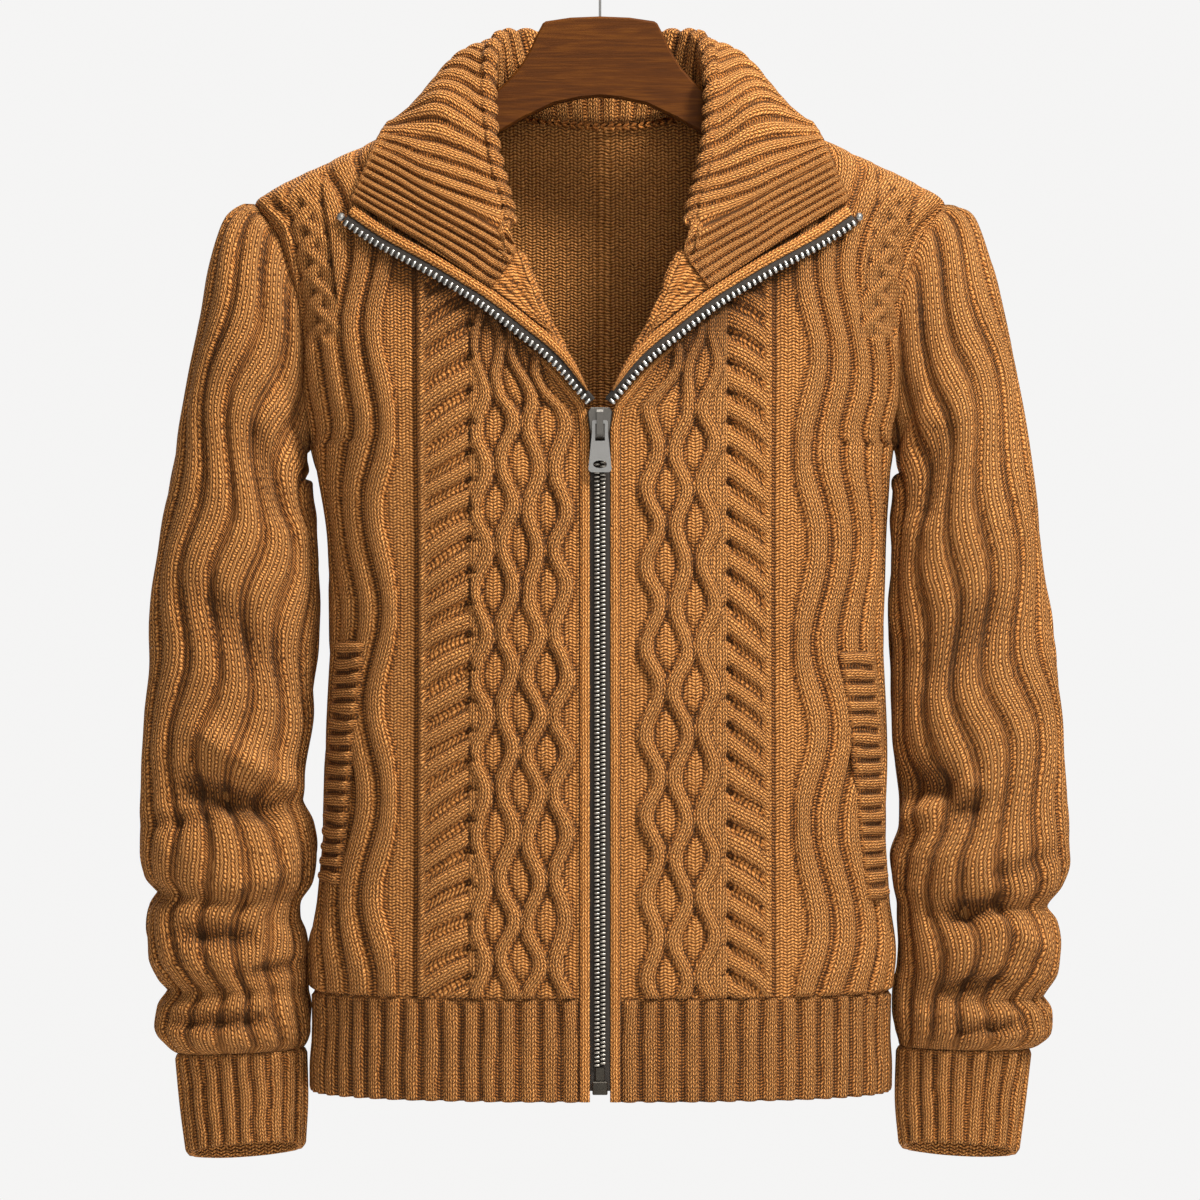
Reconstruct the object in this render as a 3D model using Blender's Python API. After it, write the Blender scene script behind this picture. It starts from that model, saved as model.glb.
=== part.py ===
"""A cable knit zip cardigan on a wooden hanger.

Metres, +Z up. The front faces -Y, and the photo's left is -X. The origin is the seat of the hanger's
hook. The tables below are in millimetres, with heights measured up from the edge of the hem, and x
measured outwards from the middle of the garment on either side.
"""
import math

import bpy
import numpy as np

# ---------------------------------------------------------------- driving sizes, mm
HOOK_SEAT = 786.0        # height of the hook's seat above the hem
HEM = 68.0               # ribbed hem
UNDERARM = 435.0
SHOULDER_TIP = 597.0
NECK_POINT = 672.0       # where the shoulder seam meets the collar
NECK_POINT_X = 85.0
BACK_NECK = 655.0        # the collar seam in the middle of the back
ZIP_STOP = 456.0         # height of the slider, above which the fronts turn outwards
WALL = 3.0               # the knitted ground, without its cables
SEAM = 0.3               # between sewn pieces
ARMHOLE_GAP = 1.6        # the sleeve's first ring beyond the armhole
CLOTH_GAP = 2.4          # between the turned-out collar and the cloth it lies on
SQUARENESS = 2.4         # power of the torso's oval rings
ROW = 10.25              # two rows are one rung of the ladder cable
YOKE = 135.0             # the rows above the underarm are as many as fit in this height
YOKE_CROWDING = 1.45     # and lie closer together towards the shoulder seam
LIFT = 4.2               # turned-out cloth lies this far in front of the ground below it

TORSO = [  # height, half width photo-left, half width photo-right, depth in front, depth behind
    (0, 193, 194, 94, 84),
    (68, 191.5, 193.5, 95, 85),
    (92, 192.5, 195, 96, 86),
    (130, 186, 190.5, 96, 86),
    (175, 182.5, 188.5, 96, 86),
    (225, 181, 189, 95.5, 85.5),
    (300, 178, 187, 95, 85),
    (365, 179, 188, 94, 83),
    (435, 191, 194, 91, 80),
    (465, 201, 203, 89.5, 78),
    (500, 210, 211, 86, 76),
    (536, 219, 219, 78, 73),
    (570, 228, 228, 68, 69),
    (597, 233, 233, 57, 66),
    (610, 215, 215, 51, 62),
    (623, 188, 188, 46, 58),
    (644, 143, 143, 35, 52),
    (655, 121, 121, 29, 50),
    (672, 85, 85, 22, 44),
    (690, 47, 47, 14, 30),
]
ARMHOLE = [  # height, distance in from the torso's side
    (435, 0), (450, 2), (465, 4), (500, 11.5), (536, 16), (570, 14), (588, 6), (597, 0),
]
FRONT_EDGE = [  # height, x of each front's inner edge: zip band, then the roll, then the neck
    (68, 13.3), (440, 13.3), (456, 14.5), (463, 19.5), (471, 25.5), (481, 31.5), (493, 34.5),
    (505, 36.5), (520, 42.5), (540, 50.5), (562, 60), (590, 68), (617, 75), (645, 81.5), (672, 85),
]
ROLL = [  # height, x of the folded edge of the turned-out front
    (490, 20.0), (505, 27.4), (520, 34.8), (540, 42.8), (562, 51.0),
]
ZIP_LINE = [  # x and height of the teeth where the zip is open, from the slider to its top stop
    (6.5, 460), (9.5, 463.5), (16, 471), (25, 481.5), (37, 493), (52, 504.5), (66, 515.5),
    (79.5, 525.5), (95, 535.5), (112, 546), (130, 556), (148, 566.5), (168, 580.5),
]
COLLAR = [  # one row from the zip to the middle of the back: seam, roll, crest, edge, each x, y, height
    # and the turn, in degrees, that the cloth makes over its roll
    ((72.0, -74.0, 536.5), (76.0, -74.5, 539.0), (118, -70.0, 567), (166, -56.0, 597.0), 10),
    ((63.5, -76.0, 549.0), (67.0, -76.0, 551.0), (112, -69.0, 578), (162, -53.0, 607.0), 30),
    ((55.5, -74.0, 562.0), (60.0, -71.0, 565.0), (107, -66.0, 590), (157, -50.0, 618.0), 100),
    ((65.0, -55.0, 589.0), (62.6, -62.0, 590.0), (106, -60.0, 606), (153, -43.0, 629.5), 170),
    ((72.0, -43.5, 616.5), (68.6, -53.0, 615.0), (107, -47.0, 631), (149, -27.0, 641.0), 180),
    ((78.9, -27.5, 644.0), (73.5, -39.0, 643.0), (109, -30.0, 664), (144, 4.0, 651.5), 180),
    ((83.5, -2.0, 671.0), (75.5, -21.0, 671.0), (107, 2.0, 684), (137, 31.0, 650.0), 180),
    ((74.0, 22.0, 667.5), (74.0, -1.0, 697.0), (97, 26.0, 699), (117, 55.0, 644.5), 180),
    ((50.0, 37.5, 661.0), (63.0, 30.0, 712.5), (74, 52.0, 704), (82, 70.0, 636.0), 180),
    ((25.0, 44.5, 656.7), (33.0, 50.0, 714.0), (37, 68.0, 701), (42, 78.0, 630.0), 180),
    ((0.0, 46.8, 655.4), (0.0, 56.5, 713.5), (0, 73.0, 700), (0, 81.0, 627.0), 180),
]
COLLAR_WALL = 3.5
COLLAR_ROLL = 6.0        # radius of the roll, on the side that shows
COLLAR_RIBS = 24         # on each half of the collar

CORDS = {-1: (26.0, 43.7, 61.0, 78.5), 1: (34.5, 53.0, 71.0)}  # the waved cords' distance from the zip
CORD_PHASE = {-1: 391.6, 1: 405.0}                            # height of an oval beside the first cord
CORD_PERIOD = 54.0
CORD_SWAY = 4.4
LADDER = {-1: (86.0, 117.0), 1: (85.0, 110.0)}                 # the two sides of the ladder cable
LADDER_CLIMB = 16.0      # a rung rises this much towards the zip
LADDER_TOP = 610.0       # near the ladder's ends the rungs level out
RIB_STEP = 20.0          # waved ribs beyond the ladder, up to the side seam
RIB_START = 150.0
RIB_PERIOD = 124.0
RIB_PHASE = {-1: 386.0, 1: 367.0}  # a height where these ribs lie furthest from the zip
RIB_SWAY = 5.0
RISE = {"cord": 3.0, "rung": 3.0, "border": 2.4, "rib": 2.5, "ground": 0.3}

SLEEVES = {  # rows from the shoulder: outer x, height, inner x, height, half depth
    -1: [
        (248.4, 589.7, 201.0, 430.0, 44), (259.9, 558.7, 199.5, 422.0, 48),
        (273.0, 495.2, 196.4, 403.0, 51),
        (279.5, 465.5, 194.7, 390.0, 51), (292.3, 391.3, 191.0, 354.0, 50),
        (297.0, 357.5, 190.5, 330.0, 49), (302.4, 290.7, 193.0, 279.0, 47),
        (305.8, 254.9, 195.0, 254.0, 47), (308.0, 226.0, 199.5, 224.0, 46),
        (309.2, 200.0, 202.0, 196.0, 44), (309.2, 180.0, 194.5, 179.0, 48),
        (309.2, 161.0, 191.0, 161.0, 50), (305.8, 146.0, 193.5, 142.0, 48),
        (296.0, 133.5, 201.5, 127.0, 41), (304.0, 121.0, 202.5, 116.0, 45),
        (306.0, 105.0, 199.5, 105.0, 48), (305.0, 90.0, 197.5, 90.0, 47),
        (298.0, 77.0, 197.5, 77.0, 42), (290.5, 67.5, 198.5, 67.0, 38),
        (298.0, 55.5, 197.0, 56.0, 43), (299.5, 43.5, 197.0, 45.5, 44),
        (292.0, 31.0, 197.6, 34.0, 39), (286.5, 25.0, 198.0, 29.0, 34),
    ],
    1: [
        (248.4, 592.0, 202.5, 431.0, 44), (261.9, 558.7, 201.8, 424.0, 48),
        (276.8, 497.9, 200.5, 406.0, 51),
        (282.2, 466.9, 199.5, 394.0, 51), (293.6, 391.3, 197.0, 354.0, 50),
        (297.7, 357.5, 196.6, 331.0, 49), (305.8, 284.6, 197.0, 277.0, 47),
        (309.2, 249.5, 198.0, 250.0, 47), (311.9, 219.0, 200.5, 221.0, 46),
        (313.9, 195.5, 203.9, 195.5, 45), (315.2, 175.0, 203.0, 178.0, 47),
        (315.6, 156.0, 196.8, 157.0, 50), (311.0, 140.0, 198.0, 139.0, 48),
        (301.0, 124.0, 201.5, 125.0, 41), (308.0, 113.0, 202.0, 113.5, 45),
        (311.0, 98.0, 203.0, 98.0, 48), (309.0, 82.0, 202.5, 83.5, 46),
        (301.0, 69.0, 200.0, 70.5, 40), (297.0, 62.5, 199.4, 63.0, 38),
        (303.0, 52.0, 199.0, 52.5, 43), (303.8, 41.5, 200.3, 42.5, 43),
        (297.0, 32.5, 200.8, 34.5, 38), (291.0, 28.5, 200.2, 30.0, 34),
    ],
}
CUFFS = {  # the same columns, from the sleeve to the opening
    -1: [(286.5, 24.6, 198.0, 28.6, 34), (283.5, -9.0, 197.3, -3.0, 29), (279.0, -44.0, 199.0, -38.0, 28)],
    1: [(291.0, 28.1, 200.2, 29.6, 34), (287.0, -8.0, 199.3, -3.0, 29), (282.5, -43.0, 202.0, -38.0, 28)],
}
CUFF_TILT = 7.0          # the front of a cuff's opening is this much higher than its back, on each side
SLEEVE_RIBS = 14
CUFF_RIBS = 21
SLEEVE_FOLDS = {  # creases: from x, height, to x, height, depth, width
    -1: [(272.0, 205.0, 222.0, 190.0, 6.0, 11.0), (275.0, 108.0, 235.0, 106.0, 5.0, 9.0),
         (284.0, 48.0, 226.0, 50.0, 4.0, 7.0), (258.0, 236.0, 206.0, 203.0, -4.0, 10.0)],
    1: [(204.0, 215.0, 240.0, 196.0, 7.0, 12.0), (262.0, 128.0, 235.0, 120.0, 5.0, 9.0),
        (264.0, 76.0, 232.0, 72.0, 4.0, 8.0), (208.0, 184.0, 248.0, 206.0, -4.0, 9.0)],
}
POCKETS = {  # height, the welt's inner and outer edges as distances in front of the side seam
    -1: ((304.0, 62.0, 35.0), (140.0, 46.0, 20.0)),
    1: ((296.0, 70.0, 40.0), (130.0, 48.0, 22.0)),
}
POCKET_RIDGES = 15
WELT_OFF = 3.3           # the welt lies on the ribs, this far in front of the ground
WELT_WALL = 2.0
WELT_RIDGE = 1.6
HEM_RIBS = 17            # on each quarter of the hem
BAND = (6.6, 13.0)       # each zip band covers this stretch of x
CHAIN_HALF = 3.9
TAPE_HALF = 6.3
SLIDER_LOW = 436.5
SLIDER_HIGH = 457.0
SLIDER_FACE = -97.2      # depth of the slider's front face
SLIDER_THICK = 4.4
BRIDGE_CLEAR = 3.6       # between that face and the bridge over the pull's bar
PULL_AXIS = (0.0, SLIDER_FACE - 1.8, 447.3)
CHAIN_BOTTOM = 24.0
TURNED = (4.3, 11.7)     # the band of a turned-out edge, measured in from the teeth
LAPEL = (508.0, 556.0)   # heights of the turned-out corner's ends on its roll
LAPEL_STEPS = (4.6, 6.7)  # where those ends lie along the zip line
LAPEL_GAP = 1.7          # between that corner and the turned-out band
LAPEL_NOTCH = 1.8        # more of a gap at its lower end

HANGER_TOP = [  # x, height of the hanger's upper edge, up to where the arm starts
    (0, 724), (20, 723.2), (38, 720.5), (43, 711), (47.5, 701), (54.5, 689.5), (62.5, 680.5),
    (70, 673.5), (85, 665.0), (130, 644.6),
]
HANGER_BOTTOM = [  # x, height of its lower edge
    (0, 670), (14, 668.7), (31, 665), (52, 655), (69, 645), (100, 630), (143, 612.5), (188, 597),
    (206, 592),
]
HANGER_TIP = 211.0
HANGER_HALF = 5.5        # half of the board's thickness
UNDER_SHOULDER = 6.2     # the arm's top below the shoulder seam: the cloth and a hair's gap
TIP_DROP = 3.0           # the arm falls this much more by its tip
HOOK_WIRE = 0.8          # radius
HOOK_RADIUS = 19.0

MATERIALS = {  # base colour, roughness, metallic
    "wool": ((0.39, 0.155, 0.045), 0.92, 0.0),
    "wood": ((0.135, 0.052, 0.016), 0.42, 0.0),
    "steel": ((0.42, 0.41, 0.39), 0.3, 1.0),
    "tape": ((0.045, 0.035, 0.028), 0.85, 0.0),
    "gunmetal": ((0.13, 0.12, 0.11), 0.38, 1.0),
}


# ---------------------------------------------------------------- curves and rings

def curve(knots, values):
    """A smooth function through a table's rows, which never overshoots them."""
    x = np.asarray(knots, float)
    y = np.asarray(values, float)
    step = np.diff(x)
    slope = np.diff(y) / step
    tangent = np.zeros(len(y))
    tangent[0], tangent[-1] = slope[0], slope[-1]
    for i in range(1, len(y) - 1):
        if slope[i - 1] * slope[i] > 0:
            tangent[i] = 2 * slope[i - 1] * slope[i] / (slope[i - 1] + slope[i])

    def at(q):
        q = np.clip(np.asarray(q, float), x[0], x[-1])
        i = np.clip(np.searchsorted(x, q, side="right") - 1, 0, len(step) - 1)
        t = (q - x[i]) / step[i]
        return ((2 * t**3 - 3 * t**2 + 1) * y[i] + (t**3 - 2 * t**2 + t) * step[i] * tangent[i]
                + (3 * t**2 - 2 * t**3) * y[i + 1] + (t**3 - t**2) * step[i] * tangent[i + 1])
    return at


TORSO_HEIGHTS = [row[0] for row in TORSO]
HALF_WIDTH = {
    -1: curve(TORSO_HEIGHTS, [row[1] for row in TORSO]),
    1: curve(TORSO_HEIGHTS, [row[2] for row in TORSO]),
}
DEPTH = {
    "front": curve(TORSO_HEIGHTS, [row[3] for row in TORSO]),
    "back": curve(TORSO_HEIGHTS, [row[4] for row in TORSO]),
}
FACING = {"front": -1.0, "back": 1.0}
ARM_INSET = curve(*zip(*ARMHOLE))
EDGE_X = curve(*zip(*FRONT_EDGE))
ROLL_X = curve(*zip(*ROLL))


def quarter_ring(side, face, height, samples=73):
    """A quarter of the torso's ring at one height: from the middle of the face to the side."""
    turn = np.linspace(0, math.pi / 2, samples)
    x = HALF_WIDTH[side](height) * np.sin(turn) ** (2 / SQUARENESS)
    y = DEPTH[face](height) * np.cos(turn) ** (2 / SQUARENESS)
    y[-1] = 0.0
    length = np.concatenate([[0], np.cumsum(np.hypot(np.diff(x), np.diff(y)))])
    return x, y, length


def girth(side, face, height):
    """The length of that quarter ring."""
    return quarter_ring(side, face, height)[2][-1]


def along_ring(side, face, height, x):
    """How far along the quarter ring its point at this x lies."""
    ring_x, _, length = quarter_ring(side, face, height)
    return np.interp(x, ring_x, length)


def torso(side, face, along, height):
    """The point of the torso's ground at a distance along its ring and a height."""
    x, y, length = quarter_ring(side, face, height)
    across = side * np.interp(along, length, x)
    return np.array([across, FACING[face] * np.interp(along, length, y), height])


def torso_normal(side, face, along, height):
    middle = min(max(along, 1.0), girth(side, face, height) - 1.0)
    across = torso(side, face, middle + 1.0, height) - torso(side, face, middle - 1.0, height)
    up = torso(side, face, along, height) - torso(side, face, along, height - 1.5)
    normal = np.cross(across, up)
    normal /= np.linalg.norm(normal)
    point = torso(side, face, along, height)
    outward = np.array([point[0], point[1], 0.0])
    return normal if normal @ outward > 0 else -normal


def on_front(side, x, height, lift):
    """A point this far in front of the ground of one front, at a place seen from the front."""
    along = along_ring(side, "front", height, x)
    return torso(side, "front", along, height) + lift * torso_normal(side, "front", along, height)


def shoulder_height(x):
    """Height of the shoulder seam at a distance from the middle."""
    rows = [(row[1], row[0]) for row in TORSO if row[0] >= SHOULDER_TIP]
    xs, heights = zip(*reversed(rows))
    return np.interp(x, xs, heights)


# ---------------------------------------------------------------- meshes

def material(name):
    found = bpy.data.materials.get(name)
    if found:
        return found
    colour, roughness, metallic = MATERIALS[name]
    made = bpy.data.materials.new(name)
    made.use_nodes = True
    shader = made.node_tree.nodes["Principled BSDF"]
    shader.inputs["Base Color"].default_value = (*colour, 1)
    shader.inputs["Roughness"].default_value = roughness
    shader.inputs["Metallic"].default_value = metallic
    return made


def place(point):
    """From a table's millimetres to the model's metres."""
    return (point[0] / 1000, point[1] / 1000, (point[2] - HOOK_SEAT) / 1000)


def solid(name, points, faces, finish):
    """An object from points in table millimetres, with its faces turned outwards."""
    mesh = bpy.data.meshes.new(name)
    spots = np.array([place(p) for p in points])
    volume = 0.0
    for face in faces:
        a = spots[face[0]]
        for i in range(1, len(face) - 1):
            volume += a @ np.cross(spots[face[i]], spots[face[i + 1]])
    if volume < 0:
        faces = [tuple(reversed(face)) for face in faces]
    mesh.from_pydata(spots.tolist(), [], faces)
    mesh.update()
    own = material(finish).copy()
    own.name = name
    mesh.materials.append(own)
    made = bpy.data.objects.new(name, mesh)
    bpy.context.scene.collection.objects.link(made)
    mesh.shade_smooth()
    mesh.set_sharp_from_angle(angle=math.radians(40))
    return made


def every(count, step):
    """Every so many of the indices up to count, with the last one."""
    picked = list(range(0, count, step))
    if picked[-1] != count - 1:
        if count - 1 - picked[-1] < step / 2 and len(picked) > 2:
            picked.pop()
        picked.append(count - 1)
    return picked


def shell(name, outer, inner, row_step, column_step, finish, tube=False, close_top=False):
    """A cloth wall: a fine outer grid over a plain inner one, with coarse cells inside.

    outer and inner hold rows of points. A tube's last column is its first. With close_top, the inner
    cells stay fine in the top rows, which lie on the hanger.
    """
    rows, columns = outer.shape[:2]
    points = []
    index = {}

    def vertex(which, r, c):
        c = c % (columns - 1) if tube else c
        key = (which, r, c)
        if key not in index:
            index[key] = len(points)
            points.append((outer if which == "out" else inner)[r, c])
        return index[key]

    faces = []
    for r in range(rows - 1):
        for c in range(columns - 1):
            spots = ((r, c), (r, c + 1), (r + 1, c + 1), (r + 1, c))
            faces.append(tuple(vertex("out", *spot) for spot in spots))
    rim = [(r, c, r, c + 1) for r in (0, rows - 1) for c in range(columns - 1)]
    if not tube:
        rim += [(r, c, r + 1, c) for c in (0, columns - 1) for r in range(rows - 1)]
    for r0, c0, r1, c1 in rim:
        face = (vertex("out", r0, c0), vertex("out", r1, c1), vertex("in", r1, c1), vertex("in", r0, c0))
        flip = (r0 == rows - 1 and r1 == rows - 1) or (c0 == 0 and c1 == 0)
        faces.append(face if flip else face[::-1])
    row_picks, column_picks = every(rows, row_step), every(columns, column_step)
    if close_top:
        row_picks = sorted(set(row_picks) | {rows - 2, rows - 3})
    for r0, r1 in zip(row_picks, row_picks[1:]):
        for c0, c1 in zip(column_picks, column_picks[1:]):
            fine_left = c0 == 0 and not tube
            fine_right = c1 == columns - 1 and not tube
            bottom = [(r0, c) for c in (range(c0, c1 + 1) if r0 == 0 else (c0, c1))]
            right = [(r, c1) for r in (range(r0, r1 + 1) if fine_right else (r0, r1))]
            top = [(r1, c) for c in (range(c1, c0 - 1, -1) if r1 == rows - 1 else (c1, c0))]
            left = [(r, c0) for r in (range(r1, r0 - 1, -1) if fine_left else (r1, r0))]
            loop = bottom[:-1] + right[:-1] + top[:-1] + left[:-1]
            for part in split_cell(loop, bottom, right, top, left):
                faces.append(tuple(vertex("in", *spot) for spot in reversed(part)))
    return solid(name, points, faces, finish)


def split_cell(loop, bottom, right, top, left):
    """Cut a coarse cell into triangles, as fans from the corners that face its fine sides."""
    sides = [bottom, right, top, left]
    fine = [i for i in range(4) if len(sides[i]) > 2]
    if not fine:
        return [loop]
    if len(fine) == 1:
        chain = sides[fine[0]]
        far_end = sides[(fine[0] + 1) % 4][-1]
        far_start = sides[(fine[0] + 2) % 4][-1]
        middle = (len(chain) - 1) // 2
        parts = [[chain[i], chain[i + 1], far_start] for i in range(middle)]
        parts.append([chain[middle], far_end, far_start])
        parts += [[chain[i], chain[i + 1], far_end] for i in range(middle, len(chain) - 1)]
        return parts
    first = fine[0] if (fine[0] + 1) % 4 == fine[1] else fine[1]
    chain = sides[first] + sides[(first + 1) % 4][1:]
    hub = sides[(first + 2) % 4][-1]
    return [[chain[i], chain[i + 1], hub] for i in range(len(chain) - 1)]


def grid_normals(grid, outward):
    """A unit normal at each point of a grid, facing the way that outward(row, column) points."""
    rows = np.gradient(grid, axis=0)
    columns = np.gradient(grid, axis=1)
    normals = np.cross(columns, rows)
    normals /= np.linalg.norm(normals, axis=2, keepdims=True)
    if np.sum(normals * outward) < 0:
        normals = -normals
    return normals


# ---------------------------------------------------------------- front and back

def panel_columns(side, face):
    """The panel's grid lines: distance from the middle, kind, rise and sway."""
    lines = [(0.0, "ground", 0.3, 0.0)] if face == "back" else [(13.3, "ground", 0.4, 0.0)]
    start = lines[0][0]
    for i, cord in enumerate(CORDS[side][face == "back":]):
        lines.append(((start + cord) / 2, "ground", 0.2, 0.0))
        lines.append((cord, "cord", RISE["cord"], CORD_SWAY * (-1 if i % 2 == 0 else 1)))
        start = cord
    near, far = LADDER[side]
    lines.append((near - 4, "ground", 0.8, 0.0))
    lines += [(near + (far - near) * share, "rung", RISE["rung"], 0.0) for share in (0.08, 0.54, 1.0)]
    lines.append((far + 4.5, "ground", 0.0, 0.0))
    rib = RIB_START
    while rib < girth(side, face, 300) - 8:
        lines.append((rib - RIB_STEP / 2, "ground", 0.0, RIB_SWAY))
        lines.append((rib, "rib", RISE["rib"], RIB_SWAY))
        rib += RIB_STEP
    lines.append((girth(side, face, 300) - SEAM / 2, "ground", 0.3, 0.0))
    return lines


def warp(distance, low, high, full, face):
    """Fit a column between a panel's edges, with those of the ladder cable kept in place."""
    if face == "back":
        return float(np.interp(distance, [0, 141, full], [0, min(141.0, high - 30), high]))
    knee = max(84.0, low + 12)
    hip = min(max(141.0, knee + 24), high - 14)
    return float(np.interp(distance, [13.3, 84, 141, full], [low, knee, hip, high]))


def armhole_along(side, face, height):
    """How far along the ring a panel's outer edge lies: its side seam, or its armhole."""
    full = girth(side, face, height)
    if height <= UNDERARM:
        return full - SEAM / 2
    inset = ARM_INSET(height)
    x = HALF_WIDTH[side](height) - inset
    return min(along_ring(side, face, height, x), full - SEAM / 2)


def panel(side, face, row_height):
    """Half a panel, from its inner edge to its side: the ground, its normals and the raised height."""
    lines = panel_columns(side, face)
    base = np.array([line[0] for line in lines])
    low_rows = int(round((UNDERARM - HEM) / row_height))
    high_rows = int(round(YOKE / row_height))
    rows = low_rows + high_rows + 1
    heights = np.linspace(NECK_POINT, SHOULDER_TIP, 40)
    girths = [(girth(side, face, height), height) for height in heights]
    seam_at = curve(*zip(*girths))
    neck_along = girths[0][0]
    tops = []
    for distance in base:
        at = warp(distance, neck_along if face == "front" else 0.0, girths[-1][0], base[-1], face)
        if at < neck_along:
            tops.append(BACK_NECK + (NECK_POINT - BACK_NECK) * (at / neck_along) ** 2)
        else:
            tops.append(float(seam_at(at)))
    tops = np.array(tops)
    ground = np.zeros((rows, len(base), 3))
    normals = np.zeros_like(ground)
    rise = np.zeros((rows, len(base)))
    for r in range(rows):
        if r <= low_rows:
            heights = np.full(len(base), HEM + SEAM + (UNDERARM - HEM - SEAM) * r / low_rows)
        else:
            climbed = 1 - (1 - (r - low_rows) / high_rows) ** YOKE_CROWDING
            heights = UNDERARM + (tops - UNDERARM) * climbed
        low = along_ring(side, face, heights[0], EDGE_X(heights[0])) if face == "front" else 0.0
        high = armhole_along(side, face, min(heights[-1], SHOULDER_TIP))
        nearest_end = min(heights[0] - HEM, LADDER_TOP - heights[0])
        fade = np.clip(nearest_end / 60, 0, 1) if face == "front" else 0.0
        for c, distance in enumerate(base):
            kind, amount, sway = lines[c][1:]
            border = c in (0, len(base) - 1)
            slant = np.interp(distance, [13.3, *LADDER[side], 141], [0, LADDER_CLIMB, 0, 0]) * fade
            height = heights[c] + (slant if r < rows - 1 else 0.0)
            period, phase = (RIB_PERIOD, RIB_PHASE[side]) if distance > 135 else (CORD_PERIOD, CORD_PHASE[side])
            at = warp(distance, low, high, base[-1], face)
            inside = fade_edge(at, low, high)
            if not border:
                ease = float(np.clip((tops[c] - heights[c]) / 40, 0, 1))
                at += sway * math.cos(2 * math.pi * (height - phase) / period) * inside * ease
            at = min(at, girth(side, face, height) - SEAM / 2)
            ground[r, c] = torso(side, face, at, height)
            normals[r, c] = torso_normal(side, face, at, height)
            if kind == "rung" and face == "front" and r % 2 == 0:
                amount = 0.6
            if r in (0, rows - 1):
                amount = min(amount, 0.5)
            rise[r, c] = 0.2 if border else amount * inside ** 0.5
    return ground, normals, rise


def fade_edge(at, low, high):
    """1 in the middle of a panel, falling to 0 at its edges."""
    return float(np.clip(min(at - low, high - at) / 12, 0.05, 1))


def build_fronts():
    for side, name in ((-1, "front_left"), (1, "front_right")):
        ground, normals, rise = panel(side, "front", ROW)
        outer = ground + normals * rise[:, :, None]
        shell(name, outer, ground - normals * WALL, 7, 5, "wool", close_top=True)


def build_back():
    left, right = (panel(side, "back", 2.6 * ROW) for side in (-1, 1))
    ground, normals, rise = (np.concatenate([a[:, :0:-1], b], axis=1) for a, b in zip(left, right))
    outer = ground + normals * rise[:, :, None]
    shell("back", outer, ground - normals * WALL, 3, 5, "wool", close_top=True)


def hem_part(name, stretches, ribs):
    """A ribbed stretch of hem. Each stretch has a side, a face, and its ends as shares of its ring."""
    heights = [0.6, 6.0, HEM]
    spots = []
    for side, face, start, end in stretches:
        part = [(side, face, share) for share in np.linspace(start, end, 2 * ribs + 1)]
        spots += part[1:] if spots else part
    outer = np.zeros((len(heights), len(spots), 3))
    inner = np.zeros_like(outer)
    for r, height in enumerate(heights):
        for c, (side, face, share) in enumerate(spots):
            low = BAND[1] + SEAM if face == "front" else 0.0
            at = low + (girth(side, face, height) - SEAM / 2 - low) * share
            normal = torso_normal(side, face, at, height)
            lifted = 2.0 if c % 2 else 0.3
            if c in (0, len(spots) - 1):
                lifted = 0.5
            if r == 0:
                lifted -= 1.2
            outer[r, c] = torso(side, face, at, height) + normal * lifted
            inner[r, c] = torso(side, face, at, height) - normal * WALL
    shell(name, outer, inner, 1, 6, "wool")


def build_hem():
    for side, name in ((-1, "hem_front_left"), (1, "hem_front_right")):
        hem_part(name, [(side, "front", 0.0, 1.0)], HEM_RIBS)
    hem_part("hem_back", [(-1, "back", 1.0, 0.0), (1, "back", 0.0, 1.0)], HEM_RIBS)


# ---------------------------------------------------------------- sleeves and cuffs

def armhole_ring(side, count):
    """The sleeve's first ring: just outside the armhole, from the shoulder tip over the front."""
    heights = np.concatenate([[SHOULDER_TIP], np.linspace(SHOULDER_TIP - 3, UNDERARM + 3, 40), [UNDERARM]])
    loop = []
    for face, order in (("front", heights), ("back", heights[::-1])):
        for height in order:
            width = HALF_WIDTH[side](height)
            x = width - ARM_INSET(height)
            y = 0.0
            if 0.2 < ARM_INSET(height):
                ring_x, ring_y, _ = quarter_ring(side, face, height)
                y = np.interp(x, ring_x, ring_y)
            loop.append((side * x, FACING[face] * y, height))
    loop = np.array(loop)
    centre = loop.mean(axis=0)
    away = loop - centre
    away[:, 0] = 0
    away /= np.maximum(np.linalg.norm(away, axis=1, keepdims=True), 1e-6)
    loop = loop + np.array([side * ARMHOLE_GAP, 0, 0]) + away * 2 * SEAM
    near_underarm = (loop[:, 2] < UNDERARM + 20)[:, None]
    loop = np.where(near_underarm, loop + np.array([side * ARMHOLE_GAP, 0, 0]), loop)
    return even_ring(loop, count)


def even_ring(loop, count):
    """Points spaced evenly along each half of a closed loop that starts at its top."""
    half = len(loop) // 2
    parts = []
    for part in (loop[:half + 1] if len(loop) % 2 else loop[:half], loop[half:]):
        length = np.concatenate([[0], np.cumsum(np.linalg.norm(np.diff(part, axis=0), axis=1))])
        spots = np.linspace(0, length[-1], count // 2 + 1)
        parts.append(np.stack([np.interp(spots, length, part[:, i]) for i in range(3)], axis=1))
    return np.concatenate([parts[0], parts[1][1:]])


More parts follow.
